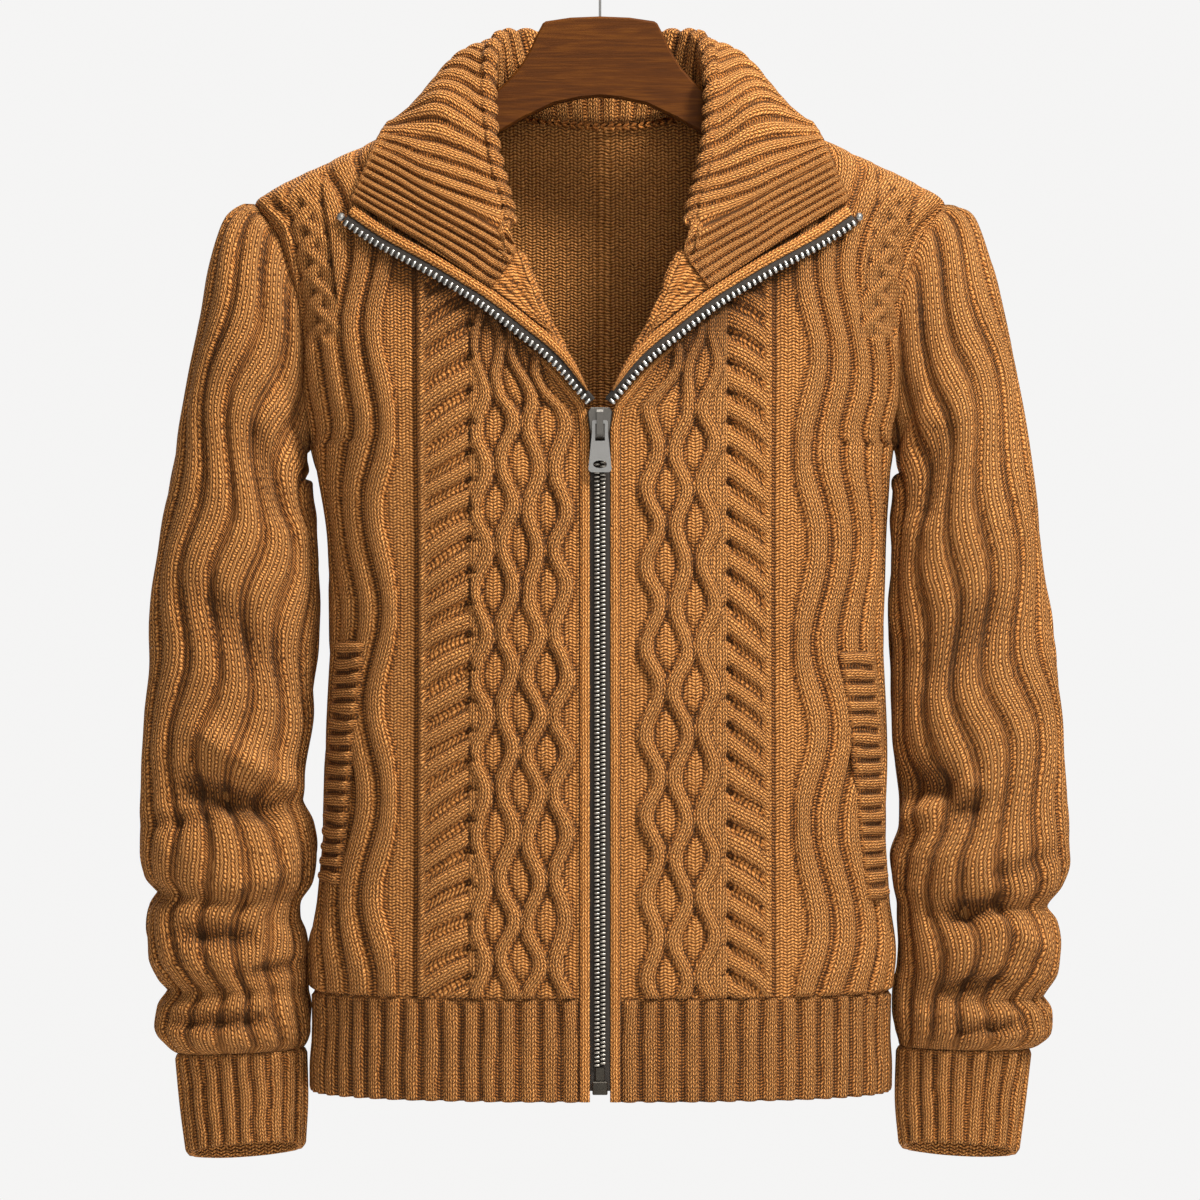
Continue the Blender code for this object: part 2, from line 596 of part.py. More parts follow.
def tube_ring(side, row, count, tilt=0.0, shrink=2.0):
    """A ring of the sleeve, between its outer and inner points, flattened from front to back."""
    outer_x, outer_h, inner_x, inner_h, depth = row
    outer, inner = np.array([outer_x, outer_h]), np.array([inner_x, inner_h])
    centre, reach = (outer + inner) / 2, (outer - inner) / 2
    reach = reach * (1 - shrink / np.linalg.norm(reach))
    turn = np.linspace(0, 2 * math.pi, 193)
    wide = np.sign(np.cos(turn)) * np.abs(np.cos(turn)) ** (2 / 2.2)
    deep = np.sign(np.sin(turn)) * np.abs(np.sin(turn)) ** (2 / 2.2)
    loop = np.stack([side * (centre[0] + reach[0] * wide), -depth * deep,
                     centre[1] + reach[1] * wide + tilt * deep], axis=1)
    return even_ring(loop, count)


def crease(side, point):
    """How far the sleeve's cloth is drawn in at a point by its creases."""
    depth = 0.0
    for x0, h0, x1, h1, deep, width in SLEEVE_FOLDS[side]:
        start, end = np.array([x0, h0]), np.array([x1, h1])
        spot = np.array([abs(point[0]), point[2]])
        share = np.clip((spot - start) @ (end - start) / ((end - start) @ (end - start)), 0, 1)
        away = np.linalg.norm(spot - start - share * (end - start))
        depth += deep * math.exp(-((away / width) ** 2))
    return depth


def build_sleeves():
    count = 2 * SLEEVE_RIBS
    for side, name in ((-1, "sleeve_left"), (1, "sleeve_right")):
        rings = [armhole_ring(side, count)]
        rings += [tube_ring(side, row, count) for row in SLEEVES[side]]
        ground = np.array(rings)
        centre = ground.mean(axis=1, keepdims=True)
        normals = grid_normals(closed_ends(ground), closed_ends(ground - centre))[:, 1:-1]
        outer, inner = ground.copy(), ground.copy()
        for r in range(len(rings)):
            for c in range(count + 1):
                point = ground[r, c]
                drawn = crease(side, point) if normals[r, c, 1] < 0.3 else crease(side, point) * 0.5
                drawn *= abs(normals[r, c, 1])
                base = point - normals[r, c] * drawn
                fade = min(1.0, r / 3, (len(rings) - 1 - r) / 2)
                lifted = (2.2 if (c % 2) else 0.0) * fade
                outer[r, c] = base + normals[r, c] * lifted
                inner[r, c] = base - normals[r, c] * WALL
        shell(name, outer, inner, 1, 4, "wool", tube=True)


def closed_ends(grid):
    """The grid of a tube with one more column past each end, so that its normals meet."""
    return np.concatenate([grid[:, -2:-1], grid, grid[:, 1:2]], axis=1)


def build_cuffs():
    count = 2 * CUFF_RIBS
    for side, name in ((-1, "cuff_left"), (1, "cuff_right")):
        rows = CUFFS[side]
        tilts = np.linspace(0, CUFF_TILT, len(rows))
        ground = np.array([tube_ring(side, row, count, tilt) for row, tilt in zip(rows, tilts)])
        centre = ground.mean(axis=1, keepdims=True)
        normals = grid_normals(closed_ends(ground), closed_ends(ground - centre))[:, 1:-1]
        lifted = np.where(np.arange(count + 1) % 2, 1.6, 0.0)[None, :] * np.array([0.4, 1, 0.5])[:, None]
        outer = ground + normals * lifted[:, :, None]
        inner = ground - normals * WALL
        shell(name, outer, inner, 1, 4, "wool", tube=True)


# ---------------------------------------------------------------- collar and turned-out edges

def smooth_line(points, samples=12):
    """A curve through a few points, as many samples for each stretch."""
    points = [np.asarray(p, float) for p in points]
    ends = [2 * points[0] - points[1]] + points + [2 * points[-1] - points[-2]]
    out = []
    for a, b, c, d in zip(ends, ends[1:], ends[2:], ends[3:]):
        for t in np.linspace(0, 1, samples, endpoint=False):
            bow = (2 * a - 5 * b + 4 * c - d) * t**2 + (3 * b - a - 3 * c + d) * t**3
            out.append(0.5 * (2 * b + (c - a) * t + bow))
    out.append(points[-1])
    return np.array(out)


def collar_tables():
    """Each column of the collar's table as a function of the row number."""
    steps = range(len(COLLAR))
    spots = [[curve(steps, [row[k][axis] for row in COLLAR]) for axis in range(3)] for k in range(4)]
    turn = curve(steps, [row[4] for row in COLLAR])
    return spots, turn


def in_front_of_panels(point):
    """Move a point of the turned-out collar clear of the front or back that it lies on."""
    x, y, height = point
    face = "front" if y < 0 else "back"
    if height > shoulder_height(x) or x > 225:
        return point
    ring_x, ring_y, _ = quarter_ring(1, face, height)
    near_seam = 1 + 0.4 * float(np.clip(1 - (shoulder_height(x) - height) / 30, 0, 1))
    clear = FACING[face] * (np.interp(x, ring_x, ring_y) + (LIFT + COLLAR_WALL + CLOTH_GAP) * near_seam)
    return np.array([x, min(y, clear) if face == "front" else max(y, clear), height])


def collar_section(spots, turn, step):
    """The collar's line from its seam, over its roll, to its edge, with six stretches."""
    seam, roll, crest, edge = (np.array([f(step) for f in spot]) for spot in spots)
    bend = math.radians(float(turn(step)))
    if bend < math.radians(60):
        line = smooth_line([seam, roll, crest, edge])
        stations = [0, 3, 6, 12, 40, 72]
    else:
        up = (roll - seam) / np.linalg.norm(roll - seam)
        out = crest - roll
        out = out - (out @ up) * up
        out /= np.linalg.norm(out)
        arc = [roll + COLLAR_ROLL * (up * math.sin(a) - out * (1 + math.cos(a)))
               for a in np.linspace(math.pi - bend, math.pi, 7)]
        arc = [point + COLLAR_ROLL * out for point in arc]
        line = smooth_line([seam] + arc + [crest, edge])
        length = run_length(line)
        first = max(length[12], 4.0)
        last = max(length[12 * 7], first + 6)
        fall = length[-1] - last
        stations = [0, first, (first + last) / 2, last, last + fall * 0.36, last + fall * 0.7]
    length = run_length(line)
    stations = [min(s, length[-1] - 8) for s in stations] + [length[-1]]
    points = np.stack([np.interp(stations, length, line[:, i]) for i in range(3)], axis=1)
    loose = 0 if bend < math.radians(155) else 3
    for i in range(loose, len(points)):
        points[i] = in_front_of_panels(points[i])
    return points


def run_length(line):
    """The distance along a line at each of its points."""
    return np.concatenate([[0], np.cumsum(np.linalg.norm(np.diff(line, axis=0), axis=1))])


def build_collar():
    spots, turn = collar_tables()
    steps = np.linspace(0, len(COLLAR) - 1, 2 * COLLAR_RIBS + 1)
    half = [collar_section(spots, turn, step) for step in steps]
    left = np.array(half) * np.array([-1, 1, 1])
    ground = np.concatenate([left, np.array(half)[-2::-1]])
    normals = grid_normals(ground, np.zeros_like(ground))
    middle = len(half) - 1
    if normals[middle, 1, 1] > 0:
        normals = -normals
    across = np.array([0.3, 1, 1, 1, 1, 1, 0.3])
    lifted = np.where(np.arange(len(ground)) % 2, 1.8, 0.2)[:, None] * across[None, :]
    lifted[0], lifted[-1] = 0.4, 0.4
    outer = ground + normals * lifted[:, :, None]
    shell("collar", outer, ground - normals * COLLAR_WALL, 3, 1, "wool")


def zip_path():
    """Points of the open zip's teeth, with the direction in from them across the cloth."""
    line = smooth_line([np.array(p) for p in ZIP_LINE], samples=1)
    along = np.gradient(line, axis=0)
    along /= np.linalg.norm(along, axis=1, keepdims=True)
    inward = np.stack([-along[:, 1], along[:, 0]], axis=1)
    return line, inward


def strip(name, stations, finish):
    """A long piece through stations, each a loop of corner points in the same order."""
    count = len(stations[0])
    points = [corner for loop in stations for corner in loop]
    faces = [tuple(range(count))[::-1], tuple(range(len(points) - count, len(points)))]
    for r in range(len(stations) - 1):
        for c in range(count):
            a, b = r * count + c, r * count + (c + 1) % count
            faces.append((a, b, b + count, a + count))
    return solid(name, points, faces, finish)


def lift_at(step):
    """How far the turned-out zip edge stands in front of the ground, along the open zip."""
    return float(np.interp(step, [0, 2, 3.5, 6, 12], [1.5, 4.4, 5.2, 5.6, 5.6]))


def build_edges():
    """The bands beside the zip, the turned-out bands and the fronts' turned-out corners."""
    heights = [0.6, 12, HEM, 130, 190, 250, 310, 360, 400, 430, 452]
    line, inward = zip_path()
    for side, tag in ((-1, "left"), (1, "right")):
        stations = []
        for height in heights:
            loop = []
            for x, lift in ((BAND[0], -WALL), (BAND[0], 0.2), (BAND[0] + 1.4, 1.2), (BAND[1] - 1.4, 1.2),
                            (BAND[1], 0.2), (BAND[1], -WALL)):
                loop.append(on_front(side, x, height, lift))
            stations.append(loop)
        strip(f"band_{tag}", stations, "wool")
        stations = []
        for i in range(3, len(line)):
            near, far = TURNED
            loop = []
            for across, lift in ((near, 0.0), (near, 3.4), (near + 1.5, 4.4), (far - 1.5, 4.4),
                                 (far, 3.4), (far, 0.0)):
                x, height = line[i] + inward[i] * across
                loop.append(on_front(side, x, height, lift_at(i) + lift))
            stations.append(loop)
        strip(f"turned_band_{tag}", stations, "wool")
        build_lapel(side, f"lapel_{tag}", line, inward)


def build_lapel(side, name, line, inward):
    """The corner of a front that is folded outwards, between its roll and the turned-out band."""
    radius = LIFT + 0.9
    rows = []
    for share in np.linspace(0, 1, 8):
        roll_height = LAPEL[0] + (LAPEL[1] - LAPEL[0]) * share
        roll_x = float(ROLL_X(roll_height))
        step = LAPEL_STEPS[0] + (LAPEL_STEPS[1] - LAPEL_STEPS[0]) * share
        spot = np.array([np.interp(step, range(len(line)), line[:, i]) for i in range(2)])
        side_in = np.array([np.interp(step, range(len(line)), inward[:, i]) for i in range(2)])
        edge = spot + side_in * (TURNED[1] + LAPEL_GAP + LAPEL_NOTCH * (1 - share))
        row = []
        for turn in (-90, -30, 30, 90):
            angle = math.radians(turn)
            x = roll_x + radius * (1 - math.cos(angle))
            row.append(on_front(side, x, roll_height, radius * math.sin(angle) + radius - WALL))
        start = np.array([roll_x + radius, roll_height])
        last = 2 * radius - WALL
        for part in (0.5, 1.0):
            x, height = start + (edge - start) * part
            row.append(on_front(side, x, height, last + 0.4 + 0.4 * part))
        rows.append(row)
    ground = np.array(rows)
    normals = grid_normals(ground, np.zeros_like(ground) + 1)
    if normals[4, 4, 1] > 0:
        normals = -normals
    lifted = np.array([0, 0.3, 0.5, 0.5, 0.7, 0.2])[None, :] * np.ones((len(rows), 1))
    outer = ground + normals * lifted[:, :, None]
    inner = ground - normals * WALL
    shell(name, outer, inner, 2, 1, "wool")


def build_pockets():
    for side, name in ((-1, "pocket_welt_left"), (1, "pocket_welt_right")):
        (top, top_in, top_out), (bottom, bottom_in, bottom_out) = POCKETS[side]
        rows, columns = 2 * POCKET_RIDGES + 1, 3
        outer = np.zeros((rows, columns, 3))
        inner = np.zeros_like(outer)
        for r in range(rows):
            share = r / (rows - 1)
            height = bottom + (top - bottom) * share
            start = bottom_in + (top_in - bottom_in) * share
            end = bottom_out + (top_out - bottom_out) * share
            full = girth(side, "front", height)
            for c in range(columns):
                at = full - (start + (end - start) * c / (columns - 1))
                point = torso(side, "front", at, height)
                normal = torso_normal(side, "front", at, height)
                ridge = WELT_RIDGE if r % 2 else 0.0
                outer[r, c] = point + normal * (WELT_OFF + WELT_WALL + ridge)
                inner[r, c] = point + normal * WELT_OFF
        shell(name, outer, inner, 5, 1, "wool")


# ---------------------------------------------------------------- zip and hanger

def block(name, low, high, finish, bevel):
    """A rounded box between two corners."""
    low, high = np.array(low, float), np.array(high, float)
    ends = (low, high)
    corners = [[ends[i][0], ends[j][1], ends[k][2]] for k in (0, 1) for j in (0, 1) for i in (0, 1)]
    faces = [(0, 2, 3, 1), (4, 5, 7, 6), (0, 1, 5, 4), (2, 6, 7, 3), (0, 4, 6, 2), (1, 3, 7, 5)]
    made = solid(name, corners, faces, finish)
    cut = made.modifiers.new("Bevel", "BEVEL")
    cut.width = bevel / 1000
    cut.segments = 1
    cut.limit_method = "ANGLE"


def plate(name, outline, y_low, y_high, finish, bevel=0.0, holes=(), seat=HOOK_SEAT):
    """A flat plate from an outline of x and height, between two depths, with holes through it."""
    count = len(outline)
    points = [(x, y, h - seat + HOOK_SEAT) for y in (y_low, y_high) for x, h in outline]
    faces = [tuple(range(count)), tuple(range(2 * count - 1, count - 1, -1))]
    faces += [(i, i + count, (i + 1) % count + count, (i + 1) % count) for i in range(count)]
    made = solid(name, points, faces, finish)
    for k, hole in enumerate(holes):
        cutter = plate(f"{name}_cut_{k}", hole, y_low - 3, y_high + 3, finish, seat=seat)
        cutter.hide_render = True
        cutter.display_type = "WIRE"
        cutter.parent = made
        cut = made.modifiers.new("Hole", "BOOLEAN")
        cut.operation = "DIFFERENCE"
        cut.object = cutter
    if bevel:
        edge = made.modifiers.new("Bevel", "BEVEL")
        edge.width = bevel / 1000
        edge.segments = 1
        edge.limit_method = "ANGLE"
        edge.angle_limit = math.radians(50)
    return made


def build_zip():
    stations = []
    for height in (CHAIN_BOTTOM, 60, 110, 170, 230, 290, 350, 400, SLIDER_LOW - SEAM):
        y = -float(DEPTH["front"](height))
        right = [(CHAIN_HALF, -1.6), (CHAIN_HALF, -0.2), (TAPE_HALF, -0.2), (TAPE_HALF, 1.0)]
        left = [(-x, d) for x, d in reversed(right)]
        stations.append([(x, y + d, height) for x, d in left + right])
    strip("zip_chain", stations, "tape")
    line, inward = zip_path()
    for side, tag in ((-1, "left"), (1, "right")):
        stations = []
        for i in range(1, len(line)):
            loop = []
            for across, lift in ((-1.6, 0.3), (-1.6, 3.0), (1.4, 3.0), (1.4, 2.2), (4.0, 2.2),
                                 (4.0, 0.9), (1.4, 0.9), (1.4, 0.3)):
                x, height = line[i] + inward[i] * across
                loop.append(on_front(side, x, height, lift_at(i) + lift))
            stations.append(loop)
        strip(f"zip_side_{tag}", stations, "tape")
        x, height = line[-1] + np.array([2.1, 2.4])
        build_stop(f"zip_stop_{tag}", on_front(side, x, height, lift_at(12) + 2.4))
    low = -float(DEPTH["front"](10))
    block("zip_box", (-5.0, low - 2.4, 5.5), (5.0, low + 1.4, 14.2), "gunmetal", 0.6)
    block("zip_pin", (-3.0, low - 1.8, 14.5), (3.0, low + 1.0, CHAIN_BOTTOM - SEAM), "gunmetal", 0.4)
    build_slider()


def build_slider():
    """The slider with its bridge, and the pull tab that swings on it about X."""
    face = SLIDER_FACE
    right = [(5.0, SLIDER_LOW), (7.0, SLIDER_LOW + 7), (8.2, SLIDER_HIGH - 3), (6.5, SLIDER_HIGH)]
    left = [(-x, h) for x, h in reversed(right)]
    slider = plate("zip_slider", right + left, face, face + SLIDER_THICK, "steel", 0.7)
    half, foot, arch, thick = 2.1, 1.8, BRIDGE_CLEAR, 1.4
    low, high = SLIDER_LOW + 1.2, SLIDER_HIGH - 1.6
    top = -arch - thick
    side_view = [(1.0, low), (top + 1.2, low), (top, low + 1.6), (top, high - 1.6), (top + 1.2, high),
                 (1.0, high), (1.0, high - foot), (-arch, high - foot), (-arch, low + foot),
                 (1.0, low + foot)]
    count = len(side_view)
    points = [(x, face + y, h) for x in (-half, half) for y, h in side_view]
    faces = [tuple(range(count)), tuple(range(2 * count - 1, count - 1, -1))]
    faces += [(i, i + count, (i + 1) % count + count, (i + 1) % count) for i in range(count)]
    bridge = solid("zip_bridge", points, faces, "steel")
    bridge.hide_render = True
    bridge.display_type = "WIRE"
    join = slider.modifiers.new("Bridge", "BOOLEAN")
    join.operation = "UNION"
    join.object = bridge
    tip, bottom = 1.1, -33.0
    outline = pull_outline(5.2, 7.6, tip, bottom)
    slot = [(3.2 * sx, h) for sx, h in ((1, -1.1), (-1, -1.1), (-1, -12.4), (1, -12.4))]
    turns = np.linspace(0, 2 * math.pi, 14, endpoint=False)
    hole = [(4.6 * math.cos(a), bottom + 5.2 + 2.6 * math.sin(a)) for a in turns]
    pull = plate("zip_pull", outline, -0.9, 0.9, "steel", holes=(slot, hole), seat=0.0)
    pull.location = place(PULL_AXIS)


def pull_outline(half_top, half_bottom, top, bottom):
    """The pull tab's outline: narrow at its bar, wider and rounded at the bottom."""
    corner = 2.4
    left = [(-half_top + 0.8, top), (-half_top, top - 0.8), (-half_top, top - 8)]
    for k in range(5):
        angle = math.pi + math.pi / 2 * k / 4
        across, down = corner * math.cos(angle), corner * math.sin(angle)
        left.append((-half_bottom + corner + across, bottom + corner + down))
    return left + [(-x, h) for x, h in reversed(left)]


def build_stop(name, spot):
    """A round stop at the top of the open zip."""
    mesh_points, faces = [], []
    radius, rings, around = 3.0, 5, 10
    for r in range(1, rings):
        polar = math.pi * r / rings
        for k in range(around):
            angle = 2 * math.pi * k / around
            across, up = math.sin(polar) * math.cos(angle), math.sin(polar) * math.sin(angle)
            mesh_points.append(spot + radius * np.array([across, -0.8 * math.cos(polar), up]))
    top, bottom = len(mesh_points), len(mesh_points) + 1
    mesh_points += [spot + np.array([0, -0.8 * radius, 0]), spot + np.array([0, 0.8 * radius, 0])]
    for k in range(around):
        n = (k + 1) % around
        faces.append((top, k, n))
        for r in range(rings - 2):
            faces.append((r * around + k, (r + 1) * around + k, (r + 1) * around + n, r * around + n))
        faces.append((bottom, (rings - 2) * around + n, (rings - 2) * around + k))
    solid(name, mesh_points, faces, "steel")


def build_hanger():
    """The wooden board inside the shoulders, and the steel hook over it."""
    top = list(HANGER_TOP)
    for x, more in ((143, 0.0), (165, 0.0), (188, TIP_DROP / 2), (203, TIP_DROP)):
        top.append((x, float(shoulder_height(x)) - UNDER_SHOULDER - more))
    tip_low = HANGER_BOTTOM[-1][1]
    tip_high = top[-1][1]
    middle, half = (tip_high + tip_low) / 2, (tip_high - tip_low) / 2
    turns = (math.pi / 3, 0, -math.pi / 3)
    tip = [(203 + (HANGER_TIP - 203) * math.cos(a), middle + half * math.sin(a)) for a in turns]
    right = top + tip + HANGER_BOTTOM[::-1]
    left = [(-x, h) for x, h in right[::-1] if x > 0]
    plate("hanger_body", right + left, -HANGER_HALF, HANGER_HALF, "wood", 2.0)
    centre = HOOK_SEAT + HOOK_WIRE - HOOK_RADIUS
    path = [(0, HANGER_TOP[0][1] + SEAM), (0, 732), (0, 738), (1.5, 743), (5.5, 747)]
    turns = np.radians(np.arange(-62, 206, 22.2))
    path += [(HOOK_RADIUS * math.cos(a), centre + HOOK_RADIUS * math.sin(a)) for a in turns]
    path = np.array(path, float)
    along = np.gradient(path, axis=0)
    along /= np.linalg.norm(along, axis=1, keepdims=True)
    stations = []
    for spot, way in zip(path, along):
        side = np.array([way[1], -way[0]])
        loop = []
        for k in range(6):
            angle = math.pi / 3 * k
            x, height = spot + side * HOOK_WIRE * math.cos(angle)
            loop.append((x, HOOK_WIRE * math.sin(angle), height))
        stations.append(loop)
    strip("hanger_hook", stations, "steel")


for old in list(bpy.data.objects):
    bpy.data.objects.remove(old, do_unlink=True)

build_fronts()
build_back()
build_hem()
build_sleeves()
build_cuffs()
build_collar()
build_edges()
build_pockets()
build_zip()
build_hanger()
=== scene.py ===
# Cable knit zip cardigan on a wooden hanger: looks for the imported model.
# Tables are in millimetres, with heights above the hem's edge and x outwards from the middle.
import math

import bmesh
import bpy
import numpy as np
from mathutils import Matrix, Vector


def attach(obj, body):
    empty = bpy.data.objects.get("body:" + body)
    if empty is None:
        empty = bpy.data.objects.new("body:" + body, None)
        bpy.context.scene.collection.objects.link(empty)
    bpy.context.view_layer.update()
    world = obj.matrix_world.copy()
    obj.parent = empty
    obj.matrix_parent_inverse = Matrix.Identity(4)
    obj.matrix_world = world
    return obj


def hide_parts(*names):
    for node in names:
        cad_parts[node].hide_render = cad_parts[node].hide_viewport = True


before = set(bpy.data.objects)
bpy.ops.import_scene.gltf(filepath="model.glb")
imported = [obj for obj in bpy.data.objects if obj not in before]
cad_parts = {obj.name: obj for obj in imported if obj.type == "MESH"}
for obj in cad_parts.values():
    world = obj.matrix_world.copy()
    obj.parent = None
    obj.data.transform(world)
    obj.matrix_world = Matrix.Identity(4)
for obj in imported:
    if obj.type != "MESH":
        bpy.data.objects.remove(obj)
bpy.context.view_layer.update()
cell = 1.6  # size of a cloth grid's cells

garment = {
    "hookSeat": 786.0,
    "hem": 68.0,
    "underarm": 435.0,
    "shoulderTip": 597.0,
    "neckPoint": 672.0,
    "backNeck": 655.0,
    "wall": 3.0,
    "seam": 0.3,
    "squareness": 2.4,
    "lift": 4.2,  # turned-out cloth in front of the ground
    "rings": [  # height, half width left and right, depth in front and behind
        (-4, 193, 194, 94, 84), (0, 193, 194, 94, 84), (68, 191.5, 193.5, 95, 85),
        (92, 192.5, 195, 96, 86), (130, 186, 190.5, 96, 86), (175, 182.5, 188.5, 96, 86),
        (225, 181, 189, 95.5, 85.5), (300, 178, 187, 95, 85), (365, 179, 188, 94, 83),
        (435, 191, 194, 91, 80), (465, 201, 203, 89.5, 78), (500, 210, 211, 86, 76),
        (536, 219, 219, 78, 73), (570, 228, 228, 68, 69), (597, 233, 233, 57, 66),
        (610, 215, 215, 51, 62), (623, 188, 188, 46, 58), (644, 143, 143, 35, 52),
        (655, 121, 121, 29, 50), (672, 85, 85, 22, 44), (690, 47, 47, 14, 30),
    ],
    "armhole": [(435, 0), (450, 2), (465, 4), (500, 11.5), (536, 16), (570, 14), (588, 6), (597, 0)],
    "frontEdge": [
        (68, 13.3), (440, 13.3), (456, 14.5), (463, 19.5), (471, 25.5), (481, 31.5), (493, 34.5),
        (505, 36.5), (520, 42.5), (540, 50.5), (562, 60), (590, 68), (617, 75), (645, 81.5),
        (672, 85),
    ],
}
facing = {"front": -1.0, "back": 1.0}


def unit(value):
    return np.clip(value, 0, 1)


def runLength(line):
    return np.concatenate([[0], np.cumsum(np.linalg.norm(np.diff(line, axis=0), axis=1))])


def smoothCurve(knots, values):
    # a curve through a table's rows that never overshoots them; a row may itself be a grid
    x, y = np.asarray(knots, float), np.asarray(values, float)
    flat = (-1,) + (1,) * (y.ndim - 1)
    step = np.diff(x)
    slope = np.diff(y, axis=0) / step.reshape(flat)
    product = slope[:-1] * slope[1:]
    sums = np.where(product > 0, slope[:-1] + slope[1:], 1)
    tangent = np.concatenate([slope[:1], np.where(product > 0, 2 * product / sums, 0), slope[-1:]])

    def at(q):
        q = np.clip(np.asarray(q, float), x[0], x[-1])
        i = np.clip(np.searchsorted(x, q, side="right") - 1, 0, len(step) - 1)
        t = ((q - x[i]) / step[i]).reshape(q.shape + (1,) * (y.ndim - 1))
        width = step[i].reshape(t.shape)
        start = (2 * t**3 - 3 * t**2 + 1) * y[i] + (t**3 - 2 * t**2 + t) * width * tangent[i]
        return start + (3 * t**2 - 2 * t**3) * y[i + 1] + (t**3 - t**2) * width * tangent[i + 1]
    return at


ringColumns = list(zip(*garment["rings"]))
halfWidth = {side: smoothCurve(ringColumns[0], ringColumns[i]) for side, i in ((-1, 1), (1, 2))}
depthOf = {face: smoothCurve(ringColumns[0], ringColumns[i]) for face, i in (("front", 3), ("back", 4))}
armInset = smoothCurve(*zip(*garment["armhole"]))
edgeX = smoothCurve(*zip(*garment["frontEdge"]))


def quarterTable(side, face):
    # x and y of a quarter of the body, over height and over the share of its length
    heights = np.arange(-4, 691, 1.0)
    shares = np.linspace(0, 1, 513)
    turn = np.linspace(0, math.pi / 2, 73)
    power = 2 / garment["squareness"]
    xs, ys, girths = np.zeros((len(heights), 513)), np.zeros((len(heights), 513)), np.zeros(len(heights))
    for i, height in enumerate(heights):
        x = halfWidth[side](height) * np.sin(turn) ** power
        y = depthOf[face](height) * np.cos(turn) ** power
        y[-1] = 0.0
        length = runLength(np.stack([x, y], axis=1))
        girths[i] = length[-1]
        xs[i] = np.interp(shares * length[-1], length, x)
        ys[i] = np.interp(shares * length[-1], length, y)
    return heights, xs, ys, girths


quarters = {(side, face): quarterTable(side, face) for side in (-1, 1) for face in ("front", "back")}


def girthAt(side, face, height):
    heights, _, _, girths = quarters[side, face]
    return np.interp(height, heights, girths)


def onBody(side, face, along, height):
    heights, xs, ys, girths = quarters[side, face]
    along, height = np.broadcast_arrays(np.asarray(along, float), np.asarray(height, float))
    share = np.clip(along / np.interp(height, heights, girths), 0, 1) * 512
    row = np.clip(height - heights[0], 0, len(heights) - 1.001)
    r, c = row.astype(int), np.minimum(share.astype(int), 511)
    fr, fc = row - r, share - c

    def mix(table):
        low = table[r, c] * (1 - fc) + table[r, c + 1] * fc
        high = table[r + 1, c] * (1 - fc) + table[r + 1, c + 1] * fc
        return low * (1 - fr) + high * fr
    return np.stack([side * mix(xs), facing[face] * mix(ys), height], axis=-1)


def alongAt(side, face, height, x):
    # how far along its ring the body has this x
    heights, xs, _, girths = quarters[side, face]
    height, x = np.broadcast_arrays(np.asarray(height, float), np.asarray(x, float))
    out = np.zeros(height.size)
    for i, (h, q) in enumerate(zip(height.ravel(), x.ravel())):
        r = int(np.clip(round(h - heights[0]), 0, len(heights) - 1))
        out[i] = np.interp(q, xs[r], np.linspace(0, girths[r], 513))
    return out.reshape(height.shape)


def onFront(side, x, height, lift):
    # a point this far in front of a front's ground, at a place seen from the front
    x, height, lift = (np.asarray(v, float) for v in np.broadcast_arrays(x, height, lift))
    along = alongAt(side, "front", height, x)
    near, far = np.maximum(along - 1, 0), along + 1
    across = onBody(side, "front", far, height) - onBody(side, "front", near, height)
    up = onBody(side, "front", along, height) - onBody(side, "front", along, height - 1.5)
    normal = np.cross(across, up)
    normal /= np.linalg.norm(normal, axis=-1, keepdims=True)
    normal = np.where(normal[..., 1:2] > 0, -normal, normal)
    return onBody(side, "front", along, height) + lift[..., None] * normal


def shoulderHeight(x):
    rows = [(row[1], row[0]) for row in garment["rings"] if row[0] >= garment["shoulderTip"]]
    xs, heights = zip(*reversed(rows))
    return np.interp(x, xs, heights)


def gridNormals(grid, outward):
    normals = np.cross(np.gradient(grid, axis=1), np.gradient(grid, axis=0))
    normals /= np.maximum(np.linalg.norm(normals, axis=2, keepdims=True), 1e-9)
    return normals if np.sum(normals * outward) > 0 else -normals


def blurred(field, radius, wrap=False):
    # a soft mean over a square of this radius in cells
    for axis in (0, 1):
        for _ in range(2):
            mode = "wrap" if wrap and axis == 1 else "edge"
            pad = [(radius, radius) if a == axis else (0, 0) for a in (0, 1)]
            wide = np.cumsum(np.pad(field, pad, mode=mode), axis=axis)
            wide = np.concatenate([np.zeros_like(np.take(wide, [0], axis=axis)), wide], axis=axis)
            count = field.shape[axis]
            high = np.take(wide, range(2 * radius + 1, 2 * radius + 1 + count), axis=axis)
            field = (high - np.take(wide, range(count), axis=axis)) / (2 * radius + 1)
    return field


def hills(across, along, seed, size, count=26):
    # gentle unevenness made of a few dozen waves
    random = np.random.default_rng(seed)
    out = np.zeros(np.broadcast(across, along).shape)
    for _ in range(count):
        angle, phase = random.uniform(0, math.pi), random.uniform(0, 2 * math.pi)
        length = size * random.uniform(0.6, 2.0)
        way = across * math.cos(angle) + along * math.sin(angle)
        out += np.sin(2 * math.pi * way / length + phase)
    return out / math.sqrt(count / 2)


def ridge(distance, half, power=2.2):
    # a rounded ridge across its middle line, 1 at the top and 0 from half outwards
    return np.clip(1 - np.abs(distance / half) ** power, 0, 1) ** 0.6


def step01(value, low, high):
    t = np.clip((value - low) / (high - low), 0, 1)
    return t * t * (3 - 2 * t)


def putIn(name, data):
    obj = bpy.data.objects.new(name, data)
    bpy.context.scene.collection.objects.link(obj)
    return obj


